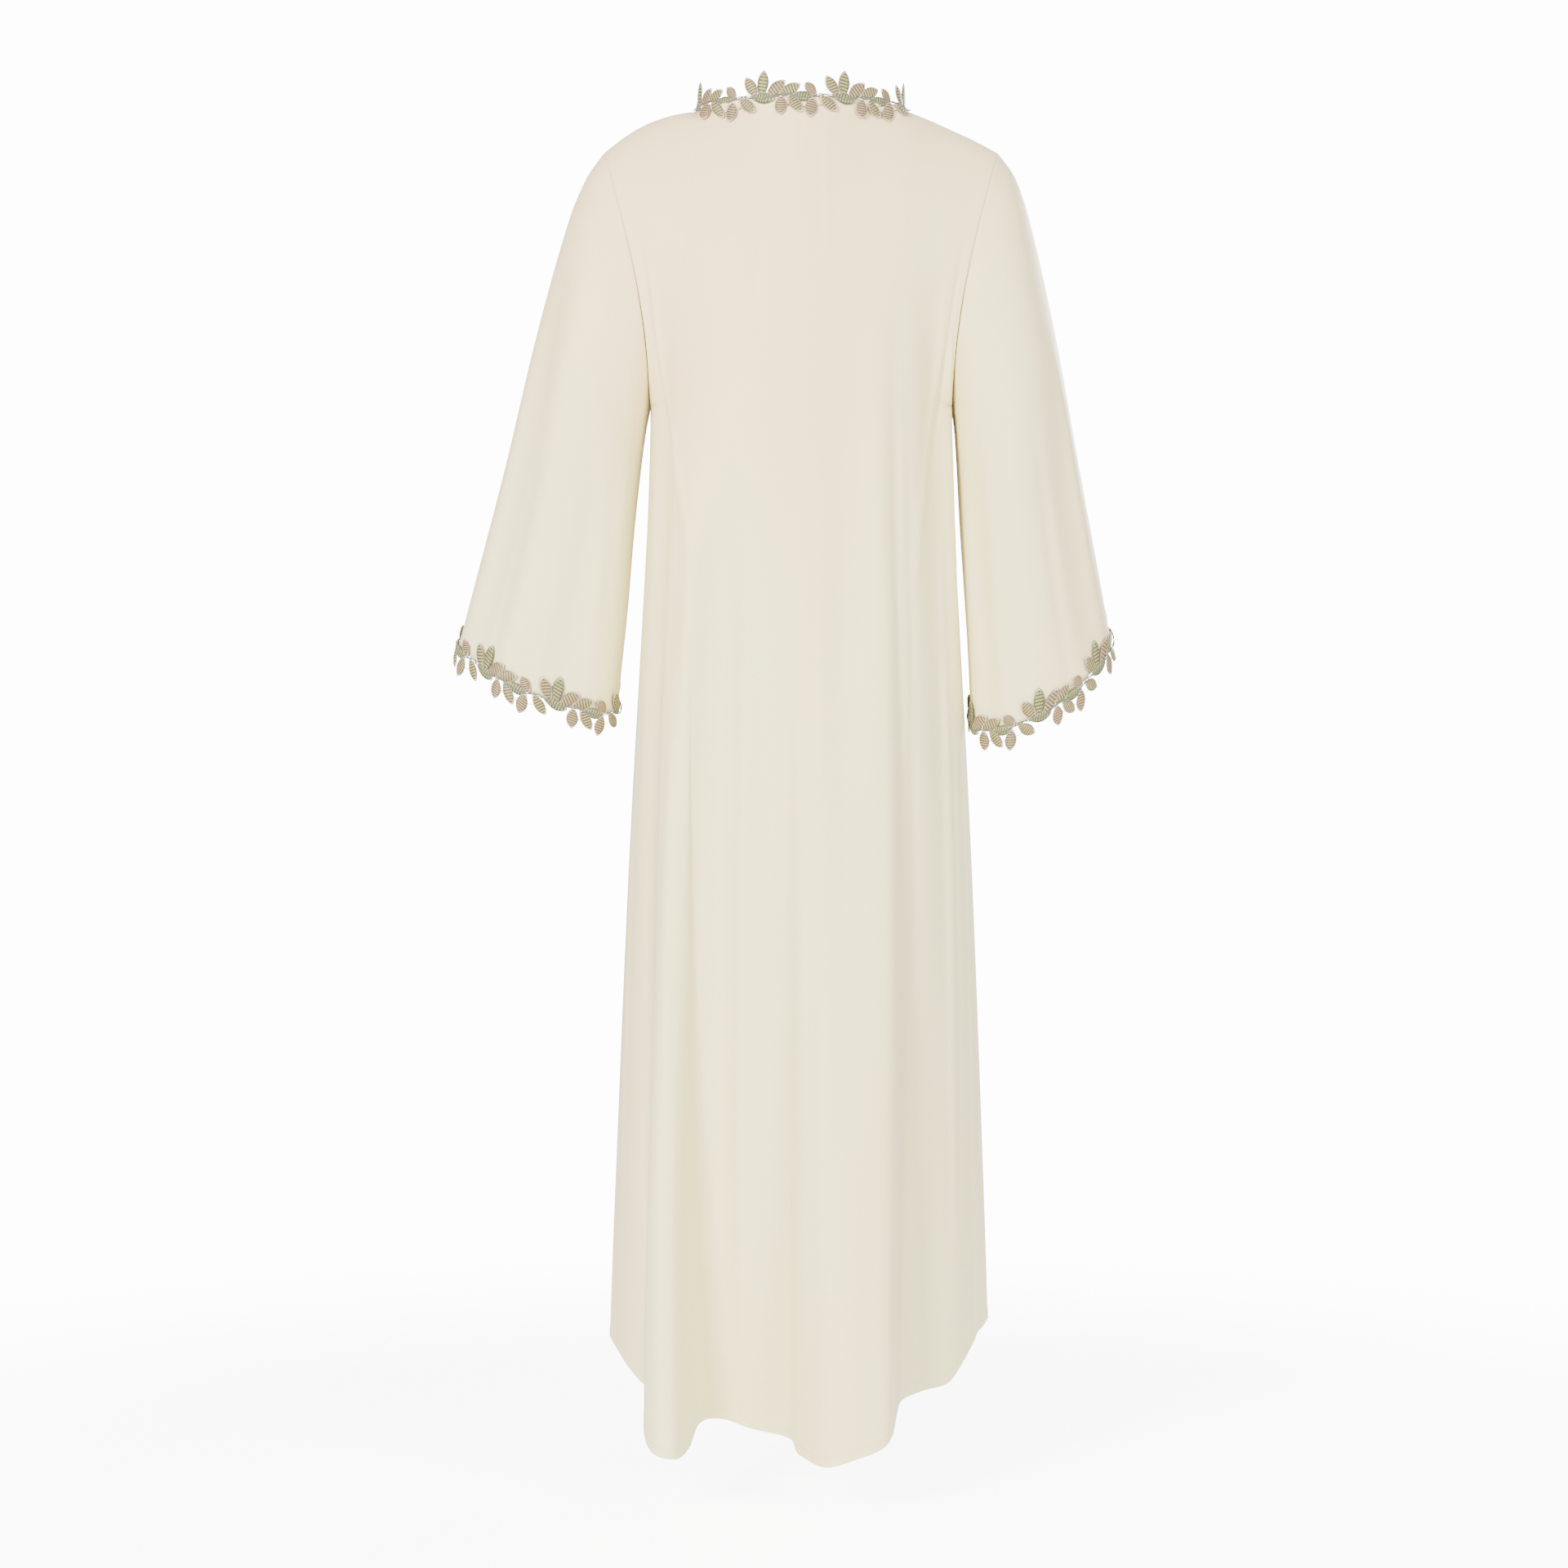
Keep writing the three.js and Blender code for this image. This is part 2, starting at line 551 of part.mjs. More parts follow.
function panelGeometry(panel) {
  const grid = GRIDS[panel];
  const last = grid[0].length - 1;
  const half = SEAM_GAP / 2;
  const outer = grid.map((row) => [
    towards(row[0], row[1], half),
    ...row.slice(1, last).map((p) => p.clone()),
    towards(row[last], row[last - 1], half),
  ]);
  outer[0] = outer[0].map((p, i) => (onShoulder(panel, i) ? towards(p, outer[1][i], half) : p));
  return facingOut(wall(outer, movedIn(outer, panelThrough(panel), CLOTH), false));
}

// The way the sleeve leaves the armhole: square to the armhole's edge, in the sleeve's own surface.
function sleeveLeaves(sleeve, phi) {
  const edge = plainSleeve(sleeve, phi + 1, 0).sub(plainSleeve(sleeve, phi - 1, 0)).normalize();
  const out = sleeveOutwards(sleeve, phi, 0);
  const leaves = edge.clone().cross(out).normalize();
  const ahead = plainSleeve(sleeve, phi, 0.02).sub(plainSleeve(sleeve, phi, 0));
  return leaves.dot(ahead) < 0 ? leaves.negate() : leaves;
}

const sleeveAngles = () =>
  Array.from({ length: 2 * ARMHOLE_ROWS }, (_, i) => 90 - (180 * i) / ARMHOLE_ROWS);

const sleeveGrid = (sleeve) =>
  Array.from({ length: SLEEVE.rows + 1 }, (_, row) =>
    sleeveAngles().map((phi) => sleeveSurface(sleeve, phi, sleeveLevel(row))),
  );

function sleeveGeometry(sleeve) {
  const round = sleeveAngles();
  const outer = sleeveGrid(sleeve);
  const through = gridOutwards(outer, true, -sleeve.side);
  round.forEach((phi, i) => {
    const panel = phi >= -90 ? "back" : "front";
    const level = panel === "back" ? (90 - phi) / 180 : 1 + (phi + 90) / 180;
    const other = outwards(panel, sleeve.side, clamp(level, 0.01, 0.99));
    const edge = body(panel, sleeve.side, level);
    const bodyLeaves = body(panel, sleeve.side * 0.98, level).sub(edge).normalize();
    through[0][i] = edgeThrough(through[0][i].normalize(), other, bodyLeaves);
    outer[0][i].addScaledVector(sleeveLeaves(sleeve, phi), SLEEVE_SET);
  });
  return facingOut(wall(outer, movedIn(outer, through, CLOTH), true));
}

// ---- Lace ----
function solid(geometry) {
  const merged = mergeVertices(geometry);
  const { position } = merged.attributes;
  const triVerts = new Uint32Array(merged.index.array);
  return new Manifold(new Mesh({ numProp: 3, vertProperties: position.array, triVerts }));
}

function cut(outline, from, thick) {
  const flat = new THREE.ExtrudeGeometry(new THREE.Shape(outline), { depth: thick, bevelEnabled: false });
  flat.deleteAttribute("normal");
  flat.deleteAttribute("uv");
  return solid(flat.translate(0, 0, from));
}

function geometryOf(body) {
  const { vertProperties, triVerts } = body.getMesh();
  const geometry = new THREE.BufferGeometry();
  geometry.setAttribute("position", new THREE.Float32BufferAttribute(Array.from(vertProperties), 3));
  return geometry.setIndex(Array.from(triVerts));
}

// The cloth's wall, larger on its outside and at its edges by the gap that the lace keeps from it.
function keptClear(grid, through, ring) {
  const past = (row, next) => row.map((p, c) => towards(p, next[c], -SEAM_GAP));
  const longer = [past(grid[0], grid[1]), ...grid.slice(1, -1), past(grid.at(-1), grid.at(-2))];
  const [outer, inner] = [-SEAM_GAP, 2 * CLOTH].map((by) => movedIn(longer, through, by));
  return solid(facingOut(wall(outer, inner, ring)));
}

const vineWave = (s) => VINE.wave * Math.sin((2 * Math.PI * VINE.waves * s) / VINE.repeat);

function leafOutline(leaf, at, sign) {
  const lean = radians(leaf.lean);
  const axis = new THREE.Vector2(Math.sin(lean), sign * Math.cos(lean));
  const square = new THREE.Vector2(axis.y, -axis.x);
  const root = new THREE.Vector2(at, vineWave(at));
  const sides = LEAF_SHAPE.map((p) => [p.along, (p.share * leaf.wide) / 2]);
  const point = (share, off) =>
    root.clone().addScaledVector(axis, share * leaf.long).addScaledVector(square, off);
  return [
    point(0, 0),
    ...sides.map(([share, half]) => point(share, half)),
    point(1, 0),
    ...[...sides].reverse().map(([share, half]) => point(share, -half)),
  ];
}

// The vine cut flat: s along it from one end to the other, leaves on either side, joined into one body.
function vine(length, phase) {
  const from = SEAM_GAP;
  const to = length - SEAM_GAP;
  const steps = Math.ceil((to - from) / VINE.step);
  const line = Array.from({ length: steps + 1 }, (_, i) => lerp(from, to, i / steps));
  const edge = (sign) => line.map((s) => new THREE.Vector2(s, vineWave(s - phase) + sign * VINE.half));
  let whole = cut([...edge(-1), ...edge(1).reverse()], 0, STEM.wall);
  const first = Math.floor((from - phase) / VINE.repeat);
  const last = Math.ceil((to - phase) / VINE.repeat);
  for (let k = first; k <= last; k += 1) {
    for (const [sign, leaves] of [[1, LEAVES.up], [-1, LEAVES.down]]) {
      for (const leaf of leaves) {
        const outline = leafOutline(leaf, k * VINE.repeat + leaf.at, sign);
        outline.forEach((p) => p.setX(p.x + phase));
        if (outline.some((p) => p.x < from + 1 || p.x > to - 1)) continue;
        whole = whole.add(cut(outline, LEAF.lift, LEAF.wall));
      }
    }
  }
  return geometryOf(whole);
}

// The vine bent round an edge: place(s, d, n) gives the point at s along the edge, d up from it and n out
// from it. What would come too near the cloth is cut away.
function laceGeometry(length, phase, place, cloth) {
  const bent = vine(length, phase);
  const position = bent.getAttribute("position");
  for (let i = 0; i < position.count; i += 1) {
    const point = place(position.getX(i), position.getY(i), position.getZ(i));
    position.setXYZ(i, point.x, point.y, point.z);
  }
  const bodies = solid(facingOut(bent)).subtract(cloth).decompose();
  return geometryOf(bodies.reduce((a, b) => (a.volume() > b.volume() ? a : b)));
}

// A cuff's lace: the rear or the fore half of the cuff, from the wearer's left to their right on the rear
// and back again on the fore, laid on the sleeve's own facets.
function cuffLace(sleeve, panel, phase) {
  const ring = sleeveGrid(sleeve).map((row) => [...row, row[0]]);
  const column = (phi) => ((90 - phi) * ARMHOLE_ROWS) / 180;
  const turn = sleeve.side * NECK[panel].side;
  const start = panel === "back" ? 90 * sleeve.side : -90 * sleeve.side;
  const angle = (share) => (panel === "back" ? start - turn * 180 * share : start + turn * 180 * share);
  const round = (share) => (column(angle(share)) + 2 * ARMHOLE_ROWS) % (2 * ARMHOLE_ROWS);
  const cuff = (share) => onFacets(ring, round(share), SLEEVE.rows);
  const { total, shareAt } = measured(cuff, MEASURE_STEPS);
  return laceGeometry(total, phase, (s, d, n) => {
    const share = shareAt(s);
    const rowHeight = onFacets(ring, round(share), SLEEVE.rows - 1).distanceTo(cuff(share));
    const row = SLEEVE.rows + (VINE.half - d) / rowHeight;
    return onFacets(ring, round(share), row).addScaledVector(
      sleeveOutwards(sleeve, angle(share), 1),
      n + LACE_LIFT.cuff,
    );
  }, keptClear(sleeveGrid(sleeve), gridOutwards(sleeveGrid(sleeve), true, -sleeve.side), true));
}

// The height of a panel's facets over a place in plan, near the neck.
function heightOver(grid, side, x, y) {
  const at = (row) => {
    let [low, high] = [0, grid[0].length - 1];
    while (high - low > 1e-3) {
      const middle = (low + high) / 2;
      if (onFacets(grid, middle, row).x < x) low = middle;
      else high = middle;
    }
    return onFacets(grid, low, row);
  };
  let [low, high] = [0, ARMHOLE_ROWS];
  while (high - low > 1e-3) {
    const middle = (low + high) / 2;
    if (side * at(middle).y < side * y) low = middle;
    else high = middle;
  }
  return at(low).z;
}

// The neck's lace, from the wearer's left to their right on the back, and back again on the front. Its
// lower leaves lie on the cloth, straight out from the neckline; its upper leaves stand.
function neckLace(panel, phase) {
  const { side, depth } = NECK[panel];
  const { shoulder, neck } = COLUMNS[panel];
  const grid = GRIDS[panel];
  const outAt = (angle) =>
    new THREE.Vector3(
      Math.sin(radians(angle)) / NECK_HALF,
      (side * Math.cos(radians(angle))) / depth,
      0,
    ).normalize();
  const ring = (angle) => onFacets(grid, shoulder + ((angle + 90) * neck) / 180, 0);
  const bed = Array.from({ length: NECK_BED.rays + 1 }, (_, i) => {
    const angle = (180 * i) / NECK_BED.rays - 90;
    const rim = ring(angle);
    const out = outAt(angle);
    const line = [rim];
    let length = 0;
    let last = rim;
    for (let h = NECK_BED.march; line.length <= NECK_BED.rows; h += NECK_BED.march) {
      const place = rim.clone().addScaledVector(out, h);
      place.z = heightOver(grid, side, place.x, place.y);
      const reach = place.distanceTo(last);
      while (length + reach >= line.length * NECK_BED.step && line.length <= NECK_BED.rows) {
        line.push(last.clone().lerp(place, (line.length * NECK_BED.step - length) / reach));
      }
      length += reach;
      last = place;
    }
    return line;
  });
  const onBed = (angle, down) => onFacets(bed, down / NECK_BED.step, ((angle + 90) * NECK_BED.rays) / 180);
  const bedOutwards = (angle, down) => {
    const round = onBed(Math.min(angle + 2, 90), down).sub(onBed(Math.max(angle - 2, -90), down));
    const fall = onBed(angle, down + 2).sub(onBed(angle, Math.max(down - 2, 0)));
    const normal = round.cross(fall).normalize();
    return normal.z < 0 ? normal.negate() : normal;
  };
  const angleAt = (share) => side * lerp(90, -90, share);
  const { total, shareAt } = measured((share) => ring(angleAt(share)), MEASURE_STEPS);
  return laceGeometry(total, phase, (s, d, n) => {
    const angle = angleAt(shareAt(s));
    const level = d - VINE.half;
    const out = outAt(angle);
    const rise = radians(lerp(NECK_RISE.side, NECK_RISE[panel], Math.cos(radians(angle))));
    const upright = out.clone().multiplyScalar(Math.sin(rise)).setZ(-Math.cos(rise));
    const point =
      level < 0
        ? onBed(angle, -level)
        : ring(angle).addScaledVector(out.clone().multiplyScalar(Math.cos(rise)).setZ(Math.sin(rise)), level);
    const turn = smooth((level + NECK_TURN) / (2 * NECK_TURN));
    const normal = bedOutwards(angle, Math.max(-level, 0)).lerp(upright, turn).normalize();
    return point.addScaledVector(normal, n + LACE_LIFT.neck);
  }, keptClear(grid, panelThrough(panel), false));
}

// ---- The dress ----
const dress = new THREE.Group();
function add(name, geometry, finish) {
  const mesh = new THREE.Mesh(geometry, new THREE.MeshStandardMaterial(finish));
  mesh.name = name;
  dress.add(mesh);
}

add("back_panel", panelGeometry("back"), IVORY);
add("front_panel", panelGeometry("front"), IVORY);
add("sleeve_left", sleeveGeometry(SLEEVES.left), IVORY);
add("sleeve_right", sleeveGeometry(SLEEVES.right), IVORY);
add("neck_lace_back", neckLace("back", -11), LACE_THREAD);
add("neck_lace_front", neckLace("front", 9), LACE_THREAD);
add("cuff_lace_left_back", cuffLace(SLEEVES.left, "back", 31), LACE_THREAD);
add("cuff_lace_left_front", cuffLace(SLEEVES.left, "front", 4), LACE_THREAD);
add("cuff_lace_right_back", cuffLace(SLEEVES.right, "back", -13), LACE_THREAD);
add("cuff_lace_right_front", cuffLace(SLEEVES.right, "front", 4), LACE_THREAD);

export default dress;
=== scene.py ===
import math

import bpy
import numpy as np
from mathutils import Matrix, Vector


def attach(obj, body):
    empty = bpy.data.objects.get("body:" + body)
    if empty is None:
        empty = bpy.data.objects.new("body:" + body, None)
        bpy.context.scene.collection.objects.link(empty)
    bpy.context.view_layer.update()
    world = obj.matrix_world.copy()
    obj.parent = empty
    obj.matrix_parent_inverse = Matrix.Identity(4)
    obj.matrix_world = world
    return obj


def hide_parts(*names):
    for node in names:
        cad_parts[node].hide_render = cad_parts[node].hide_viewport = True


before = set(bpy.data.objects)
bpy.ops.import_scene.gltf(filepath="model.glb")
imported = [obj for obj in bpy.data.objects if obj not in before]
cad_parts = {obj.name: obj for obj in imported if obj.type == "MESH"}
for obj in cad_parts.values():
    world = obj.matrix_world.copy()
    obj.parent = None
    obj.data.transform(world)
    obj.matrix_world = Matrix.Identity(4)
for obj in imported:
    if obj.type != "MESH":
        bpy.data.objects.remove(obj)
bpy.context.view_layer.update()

# A worn, hollow maxi dress: cloth panels, bell sleeves and leaf lace. Sizes here are in millimetres
# and become metres when a mesh is made. +Z is up, the dress faces -Y, and its left side is +X.
print("frame loaded")


# ---- small maths, all on whole arrays ----
def mix(a, b, share):  # a at share 0, b at share 1, a straight line between
    return a + (b - a) * share


def smooth(x):  # 3x^2 - 2x^3 between 0 and 1
    x = np.clip(x, 0, 1)
    return x * x * (3 - 2 * x)


def hump(x):  # half a cosine wave: 1 in the middle, 0 at -1 and 1
    return np.where(np.abs(x) < 1, (1 + np.cos(np.pi * x)) / 2, 0)


def unit(vectors):  # each vector over its length
    return vectors / np.maximum(np.linalg.norm(vectors, axis=-1, keepdims=True), 1e-9)


def tableCurve(table, key, at, column):
    # a cubic between each two rows, with slopes from the rows either side; straight on past the ends
    keys, values = np.array(table[key], float), np.array(table[column], float)
    rows = np.arange(len(keys))
    before, after = np.maximum(rows - 1, 0), np.minimum(rows + 1, len(keys) - 1)
    slopes = (values[after] - values[before]) / (keys[after] - keys[before])
    i = np.clip(np.searchsorted(keys, at) - 1, 0, len(keys) - 2)
    span = keys[i + 1] - keys[i]
    s = (at - keys[i]) / span
    c = np.clip(s, 0, 1)
    inside = ((1 + 2 * c) * (1 - c) ** 2 * values[i] + c * (1 - c) ** 2 * span * slopes[i]
              + c * c * (3 - 2 * c) * values[i + 1] + c * c * (c - 1) * span * slopes[i + 1])
    return inside + np.minimum(s, 0) * span * slopes[i] + np.maximum(s - 1, 0) * span * slopes[i + 1]


def gridNormals(points, ring=False):
    # at each grid point, the way across the row turned into the way down the column
    if ring:
        across = np.roll(points, -1, axis=1) - np.roll(points, 1, axis=1)
    else:
        across = np.gradient(points, axis=1)
    return unit(np.cross(across, np.gradient(points, axis=0)))


def lengthsAlong(points):  # distance travelled along the last line of points
    steps = np.linalg.norm(np.diff(points, axis=-2), axis=-1)
    return np.concatenate([np.zeros(steps.shape[:-1] + (1,)), np.cumsum(steps, axis=-1)], axis=-1)


def sampleGrid(grid, row, column):
    # between four neighbours of a grid, by shares; straight on past its edges
    r = np.clip(np.floor(row).astype(int), 0, grid.shape[0] - 2)
    c = np.clip(np.floor(column).astype(int), 0, grid.shape[1] - 2)
    down, right = (row - r)[..., None], (column - c)[..., None]
    top = mix(grid[r, c], grid[r, c + 1], right)
    return mix(top, mix(grid[r + 1, c], grid[r + 1, c + 1], right), down)


# ---- the body's cut ----
cut = {
    "neckHalf": 110, "neckReach": 170, "necklineShare": 0.06, "rounding": 0.8,
    "neckDepth": {"back": 73, "front": 84}, "neckDip": {"back": -2, "front": 105},
    "side": {"back": 1, "front": -1},
    "shoulder": 210, "shoulderDrop": 45, "shoulderCurve": {"left": 1.9, "right": 1.2},
    "underarm": 160, "underarmLevel": -316, "armholeDepth": {"back": 62, "front": 58}, "armholeEdge": 0.35,
    "upperPower": 2.5, "lowerPower": 0.8, "edgePower": 5, "hemHalf": 206, "flareCurve": 1.5,
}
levels = {  # half width and depth to the rear and to the fore, by height
    "z": [-1420, -1273, -1064, -855, -716, -560, -430, -351, -316],
    "wide": [206, 203, 195, 186, 179, 170, 163, 160.5, 160],
    "back": [160, 150, 138, 126, 117, 110, 106, 107, 108],
    "front": [156, 148, 140, 131, 126, 123, 125, 130, 132],
}
hems = {  # the hem seen from above, from the right side seam to the left one
    "back": {
        "u": [-1, -.87, -.7, -.52, -.42, -.36, -.29, -.2, -.1, -.01, .06, .2, .38, .47, .53, .59, .65, .7, .8,
              .9, 1],
        "x": [-202, -184, -162, -124, -102, -90, -79, -52, -22, 2, 11, 46, 86, 106, 116, 136, 155, 158, 173,
              192, 206],
        "y": [0, 46, 92, 106, 122, 164, 194, 211, 206, 176, 136, 118, 112, 126, 164, 193, 162, 116, 92, 48,
              0],
        "z": [-1284, -1301, -1334, -1343, -1350, -1358, -1382, -1392, -1400, -1393, -1386, -1380, -1371,
              -1373, -1389, -1394, -1372, -1345, -1334, -1314, -1303],
    },
    "front": {
        "u": [-1, -.86, -.7, -.58, -.46, -.35, -.18, -.06, .08, .2, .36, .5, .62, .74, .88, 1],
        "x": [-202, -194, -168, -146, -114, -92, -46, -16, 22, 50, 90, 120, 150, 174, 199, 206],
        "y": [0, -50, -104, -162, -172, -130, -136, -176, -186, -144, -127, -158, -166, -108, -48, 0],
        "z": [-1284, -1275, -1266, -1263, -1261, -1254, -1252, -1258, -1258, -1252, -1254, -1262, -1266,
              -1272, -1287, -1303],
    },
}


def topEdge(panel, x):  # the neckline's shallow bowl, then the shoulder falling away ever faster
    across = np.abs(x) / cut["neckHalf"]
    out = np.maximum(np.abs(x) - cut["neckHalf"], 0) / (cut["shoulder"] - cut["neckHalf"])
    power = np.where(x > 0, cut["shoulderCurve"]["left"], cut["shoulderCurve"]["right"])
    bowl = -cut["neckDip"][panel] * (1 - across ** 2)
    return np.where(across < 1, bowl, -cut["shoulderDrop"] * out ** power)


def yoke(panel, u, f):
    # from neck and shoulder to underarm: depth grows as a quarter circle under the shoulder and as a sine
    # under the neck; across, it changes from a flat-topped power curve to a rounded cosine one
    topX = cut["shoulder"] * u
    below = smooth(f / cut["necklineShare"])
    neckness = hump(topX / cut["neckReach"])
    lobe = mix(np.sqrt(np.maximum(0, 1 - (topX / cut["neckHalf"]) ** 2)), neckness, below)
    edgeX = mix(cut["shoulder"], cut["underarm"], np.sin(np.pi / 2 * f))
    inside = smooth((1 - np.abs(u)) / cut["armholeEdge"])
    edgeY = cut["armholeDepth"][panel] * mix(2 * np.sqrt(np.maximum(0, f * (1 - f))), 4 * f * (1 - f), inside)
    g = np.minimum(f / cut["rounding"], 1)
    rounding = mix(np.sqrt(np.maximum(0, 1 - (1 - g) ** 2)), np.sin(np.pi / 2 * g), neckness)
    middleY = mix(cut["neckDepth"][panel] * lobe, levels[panel][-1], rounding)
    turn = np.pi / 2 * u
    grown = smooth(f)
    shape = mix(1 - np.abs(u) ** cut["upperPower"], np.maximum(0, np.cos(turn)) ** cut["lowerPower"], grown)
    reach = mix(1 - shape, np.abs(u) ** cut["edgePower"], grown)
    x = edgeX * mix(u, np.sin(turn), grown)
    outer = smooth((np.abs(topX) - cut["neckHalf"]) / (cut["shoulder"] - cut["neckHalf"]))
    y = cut["side"][panel] * (middleY * mix(1 - outer, shape, below) + edgeY * mix(outer, reach, below))
    return np.stack([x, y, mix(topEdge(panel, topX), cut["underarmLevel"], f)], axis=-1)


def skirt(panel, u, t):
    # from underarm to hem: a rounded section that turns into the hem's folds by a power of the way down
    hem = hems[panel]
    z = mix(cut["underarmLevel"], tableCurve(hem, "u", u, "z"), t)
    wide, deep = tableCurve(levels, "z", z, "wide"), tableCurve(levels, "z", z, panel)
    turn = np.pi / 2 * u
    flare = np.maximum(t, 0) ** cut["flareCurve"]
    scale = wide / cut["hemHalf"]
    plainY = cut["side"][panel] * deep * np.maximum(0, np.cos(turn)) ** cut["lowerPower"]
    return np.stack([mix(wide * np.sin(turn), tableCurve(hem, "u", u, "x") * scale, flare),
                     mix(plainY, tableCurve(hem, "u", u, "y") * scale, flare), z], axis=-1)


def plainBody(panel, u, v):  # v: 0 at the neck and shoulder, 1 at the underarm, 2 at the hem
    f = (1 - np.cos(np.pi * np.minimum(v, 1))) / 2
    return np.where((v <= 1)[..., None], yoke(panel, u, f), skirt(panel, u, v - 1))


# ---- folds and creases of the body: place across at their top, drift to their foot and half width, as
# shares of the half width; height in mm (inwards if negative); the levels where they begin and end, and
# how far they take to grow ----
foldSettings = {
    "calmBySeam": 0.12, "pastHem": -1450, "unevenness": 0.35,
    "waves": [(5.3, 170, 1), (9.1, -240, 0), (14.7, 410, 2)],  # turn across, mm down for each turn, start
}
bodyFolds = {
    "back": [
        (-0.86, 0, 0.09, 3, -150, -700, 260), (-0.69, 0, 0.19, -7.5, -120, -1500, 260),
        (-0.33, 0, 0.11, 7.5, -170, -1500, 260), (-0.17, 0, 0.1, -4.5, -260, -1250, 260),
        (0.33, 0.04, 0.12, -7, -360, -1500, 260), (0.48, 0.14, 0.115, 9, -330, -1500, 260),
        (0.7, 0.07, 0.11, -5, -180, -1500, 260),
        (0.02, -0.02, 0.07, 1.7, -520, -1500, 320), (0.14, -0.02, 0.06, -1.8, -600, -1260, 240),
        (0.22, 0.03, 0.06, 1.8, -430, -1400, 300),
        (-0.45, 0.03, 0.05, 2, -240, -1000, 220), (-0.74, 0.02, 0.05, 1.2, -380, -1320, 260),
        (0.93, -0.3, 0.04, -1.7, -120, -430, 90), (0.86, -0.36, 0.05, 1.9, -140, -520, 110),
        (-0.92, 0.3, 0.045, -1.8, -130, -470, 100), (-0.8, 0.3, 0.05, 1.6, -160, -560, 120),
        (0.005, 0.0, 0.02, -1.1, 20, -70, 24), (-0.13, 0.01, 0.035, 1, -10, -190, 60),
        (0.18, 0.02, 0.04, -1, -20, -260, 70), (0.67, -0.02, 0.035, -1.6, -560, -1500, 220),
        (-0.9, -0.02, 0.05, -2.2, -640, -1500, 240), (0.92, 0.01, 0.04, 1.8, -620, -1240, 240),
    ],
    "front": [
        (-0.52, 0, 0.14, 7, -260, -1500, 260), (-0.28, 0, 0.14, -6, -300, -1500, 260),
        (0.02, 0, 0.14, 6, -420, -1500, 260), (0.3, 0, 0.14, -6, -300, -1500, 260),
        (0.56, 0, 0.14, 7, -260, -1500, 260),
        (0.12, -0.02, 0.05, -1.8, -520, -1300, 240), (-0.1, 0.02, 0.05, 1.8, -600, -1500, 260),
        (0.42, 0.02, 0.06, 2.2, -380, -1180, 240), (-0.4, -0.03, 0.05, -2, -460, -1500, 240),
        (0.92, -0.34, 0.045, -1.7, -130, -460, 100), (-0.91, 0.32, 0.045, -1.8, -120, -440, 100),
        (0.72, -0.02, 0.06, -2, -480, -1500, 260), (-0.74, 0.02, 0.07, 2.2, -520, -1280, 260),
        (0.2, 0.1, 0.05, 1.4, -150, -420, 90), (-0.22, -0.1, 0.05, 1.3, -160, -400, 90),
    ],
}


def foldHeights(panel, u, z):
    # the sum of soft humps across, each grown in and out by a smooth step of the level
    high = np.zeros_like(u)
    for place, drift, half, rise, top, foot, growth in bodyFolds[panel]:
        middle = place + drift * smooth((top - z) / (top - foot))
        begun = smooth((top - z) / growth)
        going = smooth((z - foot) / growth) if foot > foldSettings["pastHem"] else 1
        high += rise * hump((u - middle) / half) * begun * going
    # a slight unevenness everywhere: the sum of three slow sines that cross each other
    waves = sum(np.sin(across * u + z / down + start) for across, down, start in foldSettings["waves"])
    calm = smooth((1 - np.abs(u)) / foldSettings["calmBySeam"])
    return (high + waves * foldSettings["unevenness"]) * calm


panelSettings = {  # mm; hemRows are the heights over the hem's edge of its own rows of points
    "thickness": 0.9, "seamDip": 0.5, "seamHalf": 2.6, "sleeveSeamHalf": 2.8, "farFromSeam": 1000,
    "hemWidth": 11, "hemRise": 0.55, "hemStep": 0.8, "hemGroove": 0.5, "grooveUnder": 0.7, "grooveHalf": 1,
    "hemRows": [13, 12, 11.4, 11, 10.6, 10, 5, 0.8, 0], "hemSamples": 400,
    # steps over a shoulder and under the neck, rows above and below the underarm
    "steps": {"back": (46, 124, 56, 134), "front": (34, 92, 44, 104)},
}


def panelColumns(panel, v, shoulderSteps, neckSteps):
    # under the neckline even angles round it; from the underarm down, even steps along the hem's folds
    last = 2 * shoulderSteps + neckSteps
    i = np.arange(last + 1)
    out = np.minimum(i, last - i)
    ratio = cut["neckHalf"] / cut["shoulder"]
    onShoulder = np.sign(i - last / 2) * mix(1, ratio, out / shoulderSteps)
    onNeck = ratio * np.sin(np.pi * (i - shoulderSteps) / neckSteps - np.pi / 2)
    top = np.where(out < shoulderSteps, onShoulder, onNeck)
    share = np.linspace(-1, 1, panelSettings["hemSamples"])
    line = np.stack([tableCurve(hems[panel], "u", share, c) for c in "xyz"], axis=-1)
    run = lengthsAlong(line)
    even = np.interp(run[-1] * i / last, run, share)
    return mix(top[None, :], even[None, :], smooth(v)[:, None])


